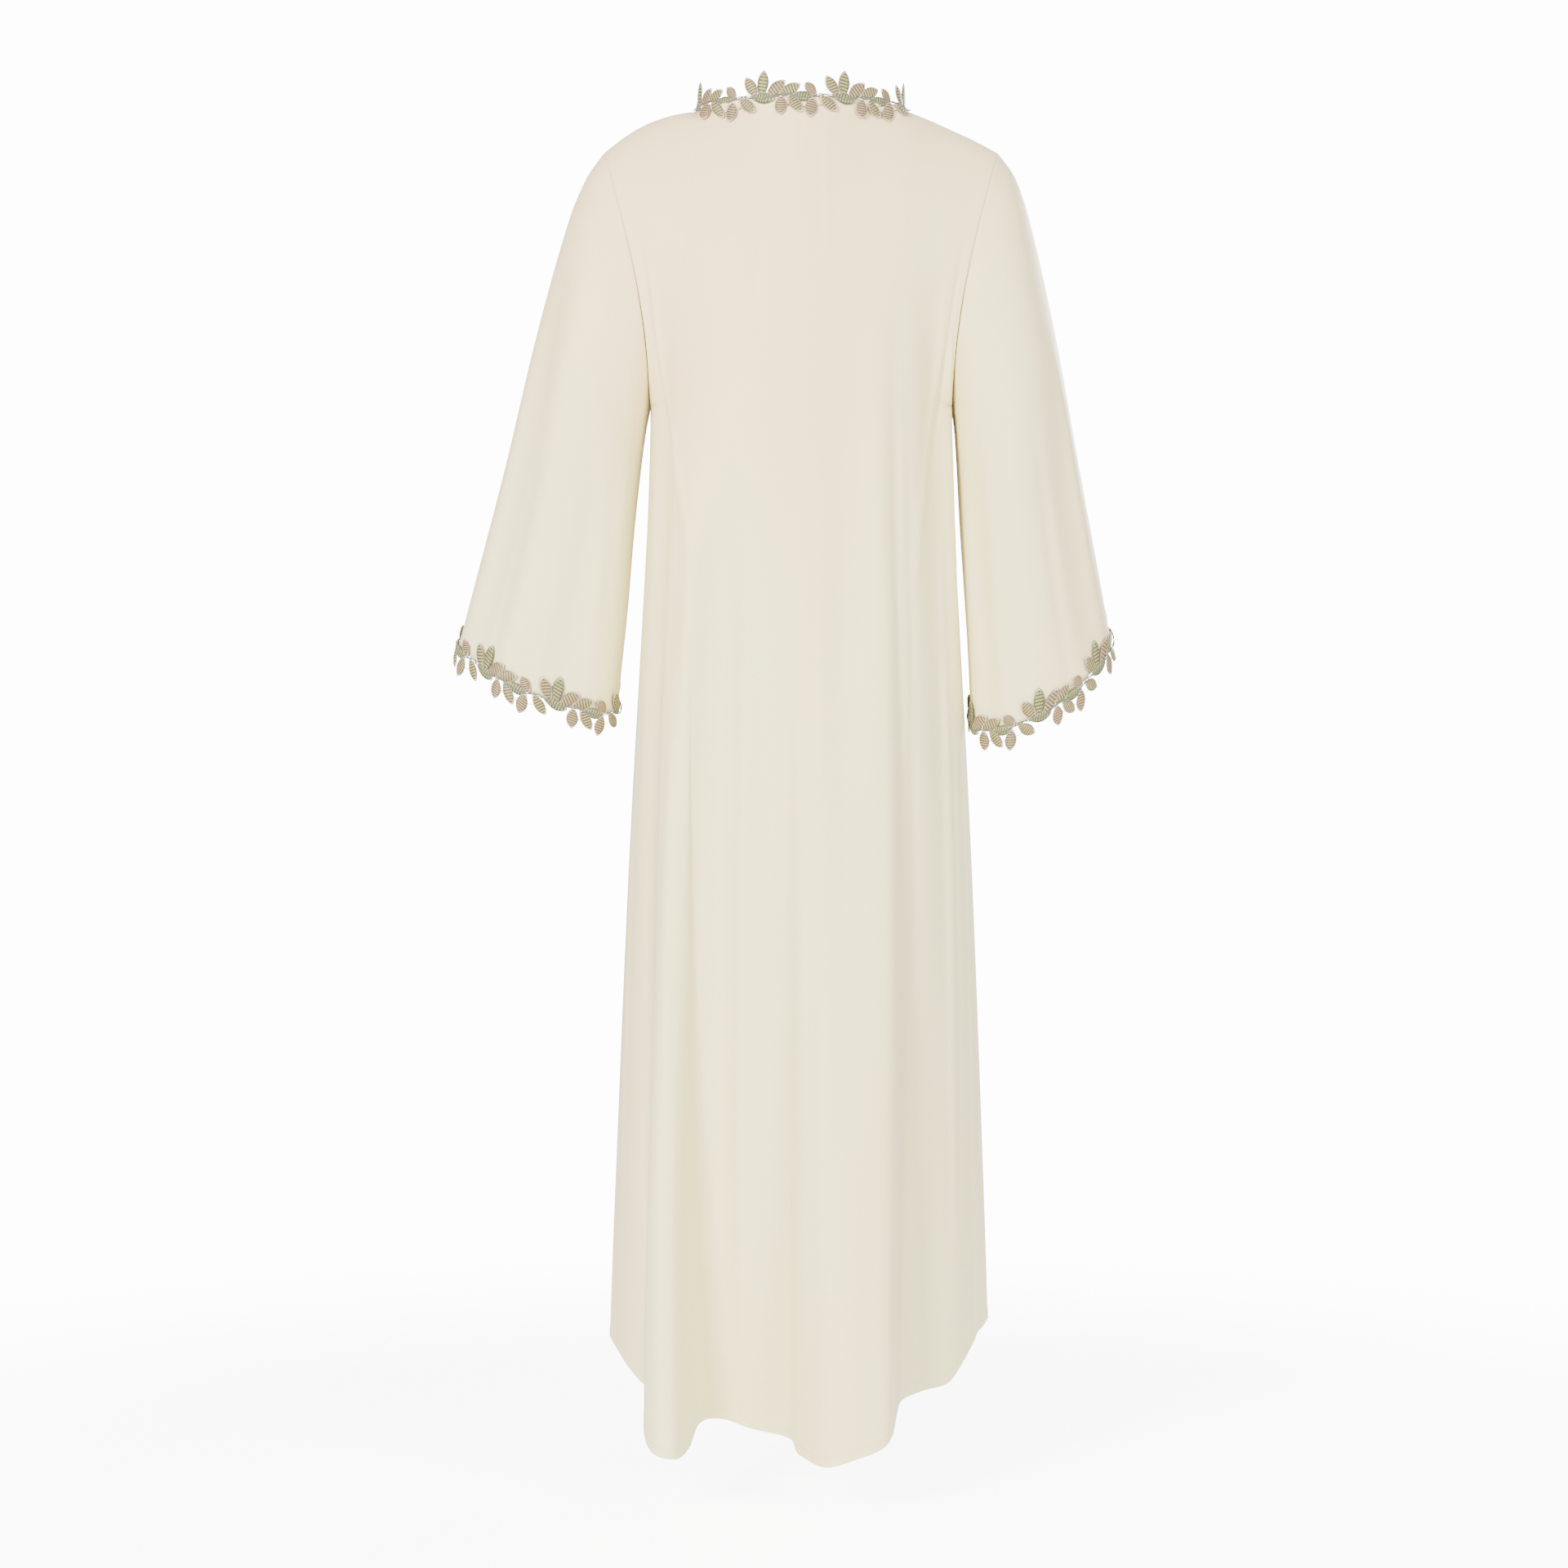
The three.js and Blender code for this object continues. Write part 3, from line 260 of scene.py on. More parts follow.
def finishedPanel(panel, shoulderSteps, neckSteps, upperRows, lowerRows):
    # the folded surface, sunk a little along its seams and doubled along its hem
    hemLength = cut["underarmLevel"] - np.mean(hems[panel]["z"])
    hemUp = np.array(panelSettings["hemRows"]) / hemLength
    v = np.concatenate([np.linspace(0, 1, upperRows + 1)[:-1], np.linspace(1, 2 - hemUp[0], lowerRows)[:-1],
                        2 - hemUp])
    u = panelColumns(panel, v, shoulderSteps, neckSteps)
    v = np.broadcast_to(v[:, None], u.shape)
    plain = plainBody(panel, u, v)
    outwards = gridNormals(plain) * cut["side"][panel]
    points = plain + outwards * foldHeights(panel, u, plain[..., 2])[..., None]
    outwards = gridNormals(points) * cut["side"][panel]
    across = lengthsAlong(points)
    fromSide = np.minimum(across, across[:, -1:] - across)
    down = lengthsAlong(points.transpose(1, 0, 2)).T
    fromHem = down[-1:] - down
    hemWidth, hemStep = panelSettings["hemWidth"], panelSettings["hemStep"]
    doubled = smooth((hemWidth + hemStep - fromHem) / hemStep) * panelSettings["hemRise"]
    groove = hump((fromHem - hemWidth + panelSettings["grooveUnder"]) / panelSettings["grooveHalf"])
    groove = groove * panelSettings["hemGroove"]
    column = np.arange(u.shape[1])
    onShoulder = np.minimum(column, u.shape[1] - 1 - column) < shoulderSteps
    seamHalf = panelSettings["seamHalf"]
    dip = hump(fromSide / seamHalf) + hump(down / seamHalf) * onShoulder[None, :]
    dip = dip * panelSettings["seamDip"]
    points = points + outwards * (doubled - groove - dip)[..., None]
    uv = np.stack([across - across[:, -1:] / 2, -down], axis=-1) / 1000
    fromShoulder = np.where(onShoulder[None, :], down, panelSettings["farFromSeam"])
    seams = np.minimum(np.minimum(fromSide, fromShoulder), fromHem)
    return points, outwards, uv, seams


# ---- meshes ----
def wallFaces(rows, columns, ring):
    # outer layer, inner layer turned round, and the edges between them
    wide = columns if ring else columns - 1
    r, c = np.meshgrid(np.arange(rows - 1), np.arange(wide), indexing="ij")
    n = (c + 1) % columns
    outer = np.stack([r * columns + c, (r + 1) * columns + c, (r + 1) * columns + n, r * columns + n], -1)
    outer = outer.reshape(-1, 4)
    inner = outer[:, ::-1] + rows * columns
    c = np.arange(wide)
    n = (c + 1) % columns
    size, low = rows * columns, (rows - 1) * columns
    edges = [(c, n), (low + n, low + c)]
    if not ring:
        r = np.arange(rows - 1)
        a, b, last = r * columns, (r + 1) * columns, columns - 1
        edges += [(b, a), (a + last, b + last)]
    return np.concatenate([outer, inner] + [np.stack([a, b, b + size, a + size], -1) for a, b in edges])


def volumeOf(points, quads):  # six times the signed volume, from a fan of triangles in each quad
    a, b, c, d = (points[quads[:, k]] for k in range(4))
    return np.sum(a * np.cross(b, c)) + np.sum(a * np.cross(c, d))


def makePiece(name, points, quads, material, uv, attributes):
    # a mesh of quads in metres, its faces outwards, with one UV map and numbers or colours by point
    points = points.reshape(-1, 3) / 1000
    if volumeOf(points, quads) < 0:
        quads = quads[:, ::-1]
    mesh = bpy.data.meshes.new(name)
    mesh.vertices.add(len(points))
    mesh.vertices.foreach_set("co", points.ravel())
    mesh.loops.add(quads.size)
    mesh.loops.foreach_set("vertex_index", quads.ravel())
    mesh.polygons.add(len(quads))
    mesh.polygons.foreach_set("loop_start", np.arange(0, quads.size, 4))
    mesh.polygons.foreach_set("use_smooth", np.ones(len(quads), bool))
    mesh.update(calc_edges=True)
    layer = mesh.uv_layers.new(name="flat")
    layer.data.foreach_set("uv", uv.reshape(-1, 2)[quads.ravel()].ravel())
    for key, values in attributes.items():
        kind, field = ("FLOAT", "value") if values.ndim == 1 else ("FLOAT_COLOR", "color")
        mesh.attributes.new(key, kind, "POINT").data.foreach_set(field, values.ravel())
    mesh.validate()
    mesh.materials.append(material)
    piece = bpy.data.objects.new(name, mesh)
    bpy.context.scene.collection.objects.link(piece)
    return piece


def makeCloth(name, points, outwards, uv, seams, ring, material):
    # the outer points and the same points moved in, joined at their edges
    rows, columns = points.shape[:2]
    both = np.stack([points, points - outwards * panelSettings["thickness"]])
    return makePiece(name, both, wallFaces(rows, columns, ring), material,
                     np.stack([uv, uv]), {"fromSeam": np.tile(seams.ravel(), 2) / 1000})


# ---- materials ----
def linear(red, green, blue):  # from the 0 to 255 of a paint chart to light: a power of 2.4
    return tuple(((c / 255 + 0.055) / 1.055) ** 2.4 for c in (red, green, blue)) + (1,)


def newMaterial(name, inputs):
    material = bpy.data.materials.new(name)
    material.use_nodes = True
    shader = material.node_tree.nodes["Principled BSDF"]
    for key, value in inputs.items():
        shader.inputs[key].default_value = value
    return material, material.node_tree, shader


def put(tree, kind, settings=None, sockets=None):  # a node with its settings, and links or values
    made = tree.nodes.new(kind)
    for key, value in (settings or {}).items():
        setattr(made, key, value)
    for key, value in (sockets or {}).items():
        if isinstance(value, bpy.types.NodeSocket):
            tree.links.new(value, made.inputs[key])
        else:
            made.inputs[key].default_value = value
    return made


def maths(tree, operation, a, b=0.0, c=0.0):  # MULTIPLY_ADD is a times b plus c
    return put(tree, "ShaderNodeMath", {"operation": operation}, {0: a, 1: b, 2: c}).outputs[0]


def ranged(tree, value, low, high, toLow=0.0, toHigh=1.0):  # value from low to high, as toLow to toHigh
    return put(tree, "ShaderNodeMapRange", None, {0: value, 1: low, 2: high, 3: toLow, 4: toHigh}).outputs[0]


def noise(tree, vector, scale, detail, roughness=0.5):
    sockets = {"Vector": vector, "Scale": scale, "Detail": detail, "Roughness": roughness}
    return put(tree, "ShaderNodeTexNoise", None, sockets).outputs[0]


def attribute(tree, name, output="Fac"):
    return put(tree, "ShaderNodeAttribute", {"attribute_name": name}).outputs[output]


def blended(tree, share, a, b):  # colour a at share 0, colour b at share 1
    return put(tree, "ShaderNodeMix", {"data_type": "RGBA"}, {0: share, 6: a, 7: b}).outputs[2]


def shaded(tree, colour, amount):  # a colour times a grey
    grey = put(tree, "ShaderNodeCombineColor", None, {0: amount, 1: amount, 2: amount}).outputs[0]
    settings = {"data_type": "RGBA", "blend_type": "MULTIPLY"}
    return put(tree, "ShaderNodeMix", settings, {0: 1.0, 6: colour, 7: grey}).outputs[2]


def bumped(tree, strength, distance, height, normal=None):
    sockets = {"Strength": strength, "Distance": distance, "Height": height}
    if normal:
        sockets["Normal"] = normal
    return put(tree, "ShaderNodeBump", None, sockets).outputs[0]


def threaded(tree, vector, threads, unevenness):
    sockets = {"Vector": vector, "Threads": threads, "Unevenness": unevenness}
    return put(tree, "ShaderNodeGroup", {"node_tree": grain}, sockets).outputs[0]


grainSettings = {"noise": (700.0, 3.0, 0.7), "breaks": 6.0, "crossing": 0.25, "fluff": 0.5, "base": 0.25}


def threadGroup():
    # crossing threads: two fine waves, one along each direction of the flat cut, broken up by noise
    settings = grainSettings
    group = bpy.data.node_groups.new("threadGrain", "ShaderNodeTree")
    group.interface.new_socket("Vector", in_out="INPUT", socket_type="NodeSocketVector")
    for key in ("Threads", "Unevenness"):
        group.interface.new_socket(key, in_out="INPUT", socket_type="NodeSocketFloat")
    group.interface.new_socket("Height", in_out="OUTPUT", socket_type="NodeSocketFloat")
    inside, outside = group.nodes.new("NodeGroupInput"), group.nodes.new("NodeGroupOutput")
    parts = put(group, "ShaderNodeSeparateXYZ", None, {0: inside.outputs["Vector"]})
    rough = noise(group, inside.outputs["Vector"], *settings["noise"])
    warp = maths(group, "MULTIPLY", rough, inside.outputs["Unevenness"])
    warp = maths(group, "MULTIPLY", warp, settings["breaks"])
    waves = []
    for axis in (0, 1):
        turn = maths(group, "MULTIPLY_ADD", parts.outputs[axis], inside.outputs["Threads"], warp)
        waves.append(maths(group, "SINE", turn))
    product = maths(group, "MULTIPLY", waves[0], waves[1])
    height = maths(group, "MULTIPLY_ADD", rough, settings["fluff"], settings["base"])
    height = maths(group, "MULTIPLY_ADD", product, settings["crossing"], height)
    group.links.new(height, outside.inputs["Height"])
    return group


grain = threadGroup()
clothSettings = {  # bumps are strength and metres; a noise is scale, detail and roughness
    "warm": linear(238, 209, 158), "cool": linear(229, 219, 163),
    "patchScale": (5.5, 5.5, 1.1), "patchNoise": (1.0, 2.0), "patchRange": (0.36, 0.64),
    "levelRange": (-0.08, -0.5), "levelShift": (-0.13, 0.07),
    "threads": 5200.0, "unevenness": 0.6, "slubNoise": (240.0, 5.0, 0.65), "slubShare": 0.5,
    "weaveRange": (0.3, 0.7), "shade": (0.93, 1.0), "weaveBump": (0.35, 0.0004),
    "puckerWidth": 0.011, "puckerNoise": (85.0, 1.0), "pucker": 0.35, "puckerBump": (0.5, 0.004),
    "roughness": (0.47, 0.58),
    "shader": {"Sheen Weight": 0.22, "Sheen Roughness": 0.4, "Specular IOR Level": 0.35},
}


def clothMaterial():
    settings = clothSettings
    material, tree, shader = newMaterial("ivoryCrepe", settings["shader"])
    place = put(tree, "ShaderNodeTexCoord")
    # a faint turn from warm to cool ivory in long patches, cooler towards the hem
    stretch = {"Vector": place.outputs["Object"], "Scale": settings["patchScale"]}
    slow = put(tree, "ShaderNodeMapping", None, stretch)
    level = put(tree, "ShaderNodeSeparateXYZ", None, {0: place.outputs["Object"]}).outputs[2]
    low = ranged(tree, level, *settings["levelRange"], *settings["levelShift"])
    patches = maths(tree, "ADD", noise(tree, slow.outputs[0], *settings["patchNoise"]), low)
    colour = blended(tree, ranged(tree, patches, *settings["patchRange"]), settings["warm"], settings["cool"])
    # the weave and its slubs
    share = settings["slubShare"]
    crossed = threaded(tree, place.outputs["UV"], settings["threads"], settings["unevenness"])
    slubs = noise(tree, place.outputs["UV"], *settings["slubNoise"])
    weave = maths(tree, "MULTIPLY_ADD", crossed, 1 - share, maths(tree, "MULTIPLY", slubs, share))
    shade = ranged(tree, weave, *settings["weaveRange"], *settings["shade"])
    tree.links.new(shaded(tree, colour, shade), shader.inputs["Base Color"])
    roughness = ranged(tree, slubs, *settings["weaveRange"], *settings["roughness"])
    tree.links.new(roughness, shader.inputs["Roughness"])
    # seams draw the cloth up into small puckers
    near = ranged(tree, attribute(tree, "fromSeam"), 0.0, settings["puckerWidth"], 1.0, 0.0)
    ripples = noise(tree, place.outputs["UV"], *settings["puckerNoise"])
    puckers = maths(tree, "MULTIPLY", maths(tree, "MULTIPLY", near, ripples), settings["pucker"])
    soft = bumped(tree, *settings["puckerBump"], puckers)
    tree.links.new(bumped(tree, *settings["weaveBump"], crossed, soft), shader.inputs["Normal"])
    return material


crepe = clothMaterial()
print("cloth material made")

# ---- body panels ----
pieces = {}
for panel, counts in panelSettings["steps"].items():
    points, outwards, uv, seams = finishedPanel(panel, *counts)
    pieces[panel] = makeCloth(panel + "Panel", points, outwards, uv, seams, False, crepe)
    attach(pieces[panel], "root")
    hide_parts(panel + "_panel")
    print(panel, "panel made")

# ---- sleeves: sections from armhole (0) to cuff (1), the edges seen from behind, depths, and how far the
# rear hangs below the fore; folds by angle, half width, height, where they begin and end ----
sleeves = {
    "left": {
        "side": 1,
        "t": [0, .06, .15, .4, .7, 1], "outX": [210, 228, 246.5, 282, 318, 363.5],
        "outZ": [-45, -71, -115, -240, -393, -566], "inX": [160, 164, 168, 177, 184.5, 194.5],
        "inZ": [-316, -336, -364, -443, -538, -634], "back": [62, 66, 70, 71, 63, 54],
        "front": [58, 61, 64, 64, 58, 52], "tilt": [0, 1, 3, 9, 16, 22],
        "folds": [(52, 26, -7, 0.12, 1.2), (18, 22, 4, 0.3, 1.2), (-18, 20, -5, 0.25, 1.2),
                  (-52, 18, 4, 0.1, 0.8), (140, 28, -5, 0.2, 1.2), (205, 26, -5, 0.25, 1.2),
                  (70, 12, 1.6, 0.25, 0.95), (35, 10, -1.3, 0.45, 1.3), (2, 9, 1.4, 0.5, 1.3),
                  (-34, 10, 1.5, 0.35, 0.9), (165, 12, 1.6, 0.4, 1.3), (232, 12, -1.6, 0.3, 1.0)],
    },
    "right": {
        "side": -1,
        "t": [0, .06, .15, .4, .7, 1], "outX": [210, 228, 243, 271.5, 298.5, 329],
        "outZ": [-45, -71, -115, -240, -393, -559], "inX": [160, 163, 165, 169.5, 175.5, 180.5],
        "inZ": [-316, -336, -365, -447, -546, -645], "back": [62, 66, 70, 71, 63, 54],
        "front": [58, 61, 64, 64, 58, 52], "tilt": [0, 2, 5, 14, 26, 38],
        "folds": [(48, 24, -4, 0.3, 1.2), (0, 30, 4, 0.2, 1.2), (-48, 20, -5, 0.15, 1.2),
                  (140, 28, -5, 0.2, 1.2), (205, 26, -5, 0.25, 1.2), (66, 12, 1.5, 0.3, 1.0),
                  (22, 10, -1.5, 0.4, 1.3), (-22, 11, -1.2, 0.5, 1.3), (-66, 11, 1.4, 0.2, 0.8),
                  (165, 12, 1.5, 0.45, 1.3), (232, 12, -1.5, 0.3, 1.1)],
    },
}
sleeveSettings = {
    "columns": 168, "rows": 110, "spread": 1.25, "scoopEnds": 0.25, "growth": 0.35, "cuffFromSeam": 3,
    "waves": [(3, 5, 0), (5, -8, 1)], "unevenness": 0.4, "calmByArmhole": 0.3,
    "turnStep": 0.36, "downStep": 0.004, "furthest": 1.2,
}


def plainSleeve(sleeve, phi, t):
    # an oval through the outer and inner edge, leaning so that its rear hangs lower; phi in degrees
    outX, inX, outZ, inZ, back, front, tilt = (
        tableCurve(sleeve, "t", t, c) for c in ("outX", "inX", "outZ", "inZ", "back", "front", "tilt"))
    cosine = np.cos(np.radians(phi))
    f = (1 - np.sin(np.radians(phi))) / 2
    share = mix(np.sin(np.pi / 2 * f), f, smooth(t / sleeveSettings["scoopEnds"]))
    return np.stack([sleeve["side"] * mix(outX, inX, share), np.where(cosine > 0, back, front) * cosine,
                     mix(outZ, inZ, f) - tilt * cosine], axis=-1)


def sleeveNormals(sleeve, phi, t):
    # square to two short steps over the plain sleeve, one round it and one down it
    turn, step = sleeveSettings["turnStep"], sleeveSettings["downStep"]
    across = plainSleeve(sleeve, phi + turn, t) - plainSleeve(sleeve, phi - turn, t)
    lower, upper = np.minimum(t + step, sleeveSettings["furthest"]), np.maximum(t - step, 0)
    down = plainSleeve(sleeve, phi, lower) - plainSleeve(sleeve, phi, upper)
    return unit(np.cross(across, down)) * sleeve["side"]


def sleeveSurface(sleeve, phi, t):
    # the plain sleeve moved outwards by its folds, humps that grow and fade along it, and by two slow sines
    high = np.zeros(np.broadcast(phi, t).shape)
    growth = sleeveSettings["growth"]
    for middle, half, rise, top, foot in sleeve["folds"]:
        turned = (phi - middle + 540) % 360 - 180
        high = high + rise * hump(turned / half) * smooth((t - top) / growth) * smooth((foot - t) / growth)
    waves = sum(np.sin(np.radians(times * phi) + along * t + start)
                for times, along, start in sleeveSettings["waves"])
    high = high + waves * sleeveSettings["unevenness"] * smooth(t / sleeveSettings["calmByArmhole"])
    return plainSleeve(sleeve, phi, t) + sleeveNormals(sleeve, phi, t) * high[..., None]


for side, sleeve in sleeves.items():
    rows, columns = sleeveSettings["rows"], sleeveSettings["columns"]
    t = np.linspace(0, 1, rows + 1) ** sleeveSettings["spread"]
    phi = 90 - 360 * np.arange(columns) / columns
    phi, t = np.meshgrid(phi, t)
    points = sleeveSurface(sleeve, phi, t)
    outwards = gridNormals(points, ring=True) * -sleeve["side"]
    down = lengthsAlong(points.transpose(1, 0, 2)).T
    fromCuff = down[-1:] - down
    dip = hump(down / panelSettings["sleeveSeamHalf"]) * panelSettings["seamDip"]
    points = points - outwards * dip[..., None]
    girth = np.mean(lengthsAlong(points)[:, -1])
    uv = np.stack([(90 - phi) / 360 * girth, -down], axis=-1) / 1000
    seams = np.minimum(down, fromCuff + sleeveSettings["cuffFromSeam"])
    pieces[side] = makeCloth(side + "Sleeve", points, outwards, uv, seams, True, crepe)
    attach(pieces[side], "root")
    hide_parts("sleeve_" + side)
    print(side, "sleeve made")

# ---- leaf lace: a wavy stem with leaves above and below it, the same again every repeat; mm ----
vine = {
    "repeat": 85, "halfStem": 1.4, "wave": 1.8, "waves": 2, "middle": 1.1, "gap": 0.3, "margin": 1,
    "strand": 0.62, "apart": 0.95, "crossings": 7, "stemStep": 1.3, "stemOver": 0.6, "stemSway": 0.4,
    "stemSides": 6, "stemColour": linear(90, 100, 82), "lift": {"neck": 1.0, "cuff": 1.7},
    "leafRings": 9, "leafSides": 8, "leafEnds": (0.16, 0.1), "inCord": 0.96, "leastHalf": 0.02,
    "leafRise": (0.35, 0.5), "fullAtTip": 1.18, "bluntness": 0.74, "widest": 0.6,
    "cord": 0.52, "cordSteps": 18, "cordSides": 4, "stalkSunk": 0.2,
    "tie": 0.38, "tieSteps": 7, "tieSides": 4, "tieAlong": 0.52, "tieUnder": 0.3, "uvUnit": 10, "uvShift": 3,
    # up (1) or down (-1), place, lean from upright, length, width, thread
    "leaves": [
        (1, 2, -40, 18, 10, "rose"), (1, 26, -31, 27, 11.5, "gold"), (1, 30, 4, 30, 11.5, "green"),
        (1, 34.5, 47, 27, 13, "rose"), (1, 47, 64, 26, 11.5, "gold"),
        (-1, 5, 48, 24, 11, "gold"), (-1, 18, 82, 26, 11, "green"), (-1, 50, 2, 22, 12, "rose"),
        (-1, 57, 38, 24.5, 10.5, "gold"), (-1, 60, 84, 24, 10.5, "green"), (-1, 83, -8, 23, 12, "rose"),
    ],
    "ties": [(7, 10), (10, 5), (7, 8)],  # threads between two hanging leaves, by their place in the list
}
threads = {  # the stitched margin, the raised fill and the cord round the edge
    "green": [linear(186, 200, 166), linear(146, 140, 66), linear(74, 86, 68)],
    "rose": [linear(220, 196, 180), linear(162, 134, 78), linear(166, 124, 112)],
    "gold": [linear(222, 208, 176), linear(160, 140, 74), linear(164, 152, 120)],
}


def vineWave(s):  # a sine, twice in each repeat
    return vine["wave"] * np.sin(2 * np.pi * vine["waves"] * s / vine["repeat"])


def tube(centres, radius, around, closed):
    # circles square to a path in the plane of the lace
    ahead, behind = np.roll(centres, -1, axis=-2), np.roll(centres, 1, axis=-2)
    way = unit(ahead - behind if closed else np.gradient(centres, axis=-2))
    side = unit(np.stack([-way[..., 1], way[..., 0], 0 * way[..., 0]], axis=-1))
    up = np.cross(way, side)
    turn = 2 * np.pi * np.arange(around)[:, None] / around
    circles = side[..., None, :] * np.cos(turn) + up[..., None, :] * np.sin(turn)
    return centres[..., None, :] + radius * circles


def tubeQuads(paths, rings, around, closed):
    # quads between each two rings; open ends are closed by folding the ring's quads across it
    pairs = rings if closed else rings - 1
    p, r, a = np.meshgrid(np.arange(paths), np.arange(pairs), np.arange(around), indexing="ij")
    base, n = p * rings * around, (a + 1) % around
    near, far = base + r * around, base + (r + 1) % rings * around
    quads = [np.stack([near + a, far + a, far + n, near + n], -1).reshape(-1, 4)]
    if not closed:
        p, k = np.meshgrid(np.arange(paths), np.arange(around // 2 - 1), indexing="ij")
        base, last = p * rings * around, around - 1
        cap = np.stack([base + k, base + k + 1, base + last - 1 - k, base + last - k], -1).reshape(-1, 4)
        quads += [cap, cap[:, ::-1] + (rings - 1) * around]
    return np.concatenate(quads)


def leafFrames(length, phase):
    # each whole leaf of the vine: its foot, the way it points, its size, its threads, its repeat and place
    repeat, edge = vine["repeat"], vine["gap"] + vine["margin"]
    first, last = math.floor(-phase / repeat) - 1, math.ceil((length - phase) / repeat) + 1
    rows = [(k, i) + leaf for k in range(first, last + 1) for i, leaf in enumerate(vine["leaves"])]
    frames = []
    for k, i, sign, at, lean, long, wide, thread in rows:
        angle = math.radians(lean)
        way = np.array([math.sin(angle), sign * math.cos(angle)])
        foot = np.array([k * repeat + at + phase, vineWave(k * repeat + at)])
        waist, half = foot[0] + way[0] * long * vine["widest"], abs(way[1]) * wide / 2
        places = [foot[0], foot[0] + way[0] * long, waist - half, waist + half]
        if min(places) >= edge and max(places) <= length - edge:
            frames.append((foot, way, (long, wide), thread, (k, i)))
    feet, ways, sizes, names, marks = zip(*frames)
    return np.array(feet), np.array(ways), np.array(sizes), names, marks


def leafHalf(s):  # half outline from stalk (0) to tip (1): a power of a sine, fuller towards the tip
    return np.sin(np.pi * np.clip(s, 0, 1) ** vine["fullAtTip"]) ** vine["bluntness"]


def stemTubes(length, phase):
    # two strands on either side of the wave, by the sine and cosine of a turn that grows along it
    line = np.linspace(vine["gap"], length - vine["gap"], int(length / vine["stemStep"]))
    turns = np.pi * vine["crossings"] * line / vine["repeat"] + np.array([[0], [np.pi]])
    path = np.stack([line + 0 * turns, vineWave(line - phase) + vine["apart"] * np.sin(turns),
                     vine["middle"] + vine["stemOver"] + vine["stemSway"] * np.cos(turns)], axis=-1)
    sides = vine["stemSides"]
    return tube(path, vine["strand"], sides, False), None, tubeQuads(2, len(line), sides, False), None, None


def tieTubes(pairs, points):
    # straight threads between one point on each of two leaves, under the lace's middle
    a, b = np.array(pairs).T
    steps, sides = vine["tieSteps"], vine["tieSides"]
    path = mix(points[a, None], points[b, None], np.linspace(0, 1, steps)[None, :, None])
    low = np.full(path.shape[:2] + (1,), vine["middle"] - vine["tieUnder"])
    ties = tube(np.concatenate([path, low], axis=-1), vine["tie"], sides, False)
    return ties, None, tubeQuads(len(pairs), steps, sides, False), None, None


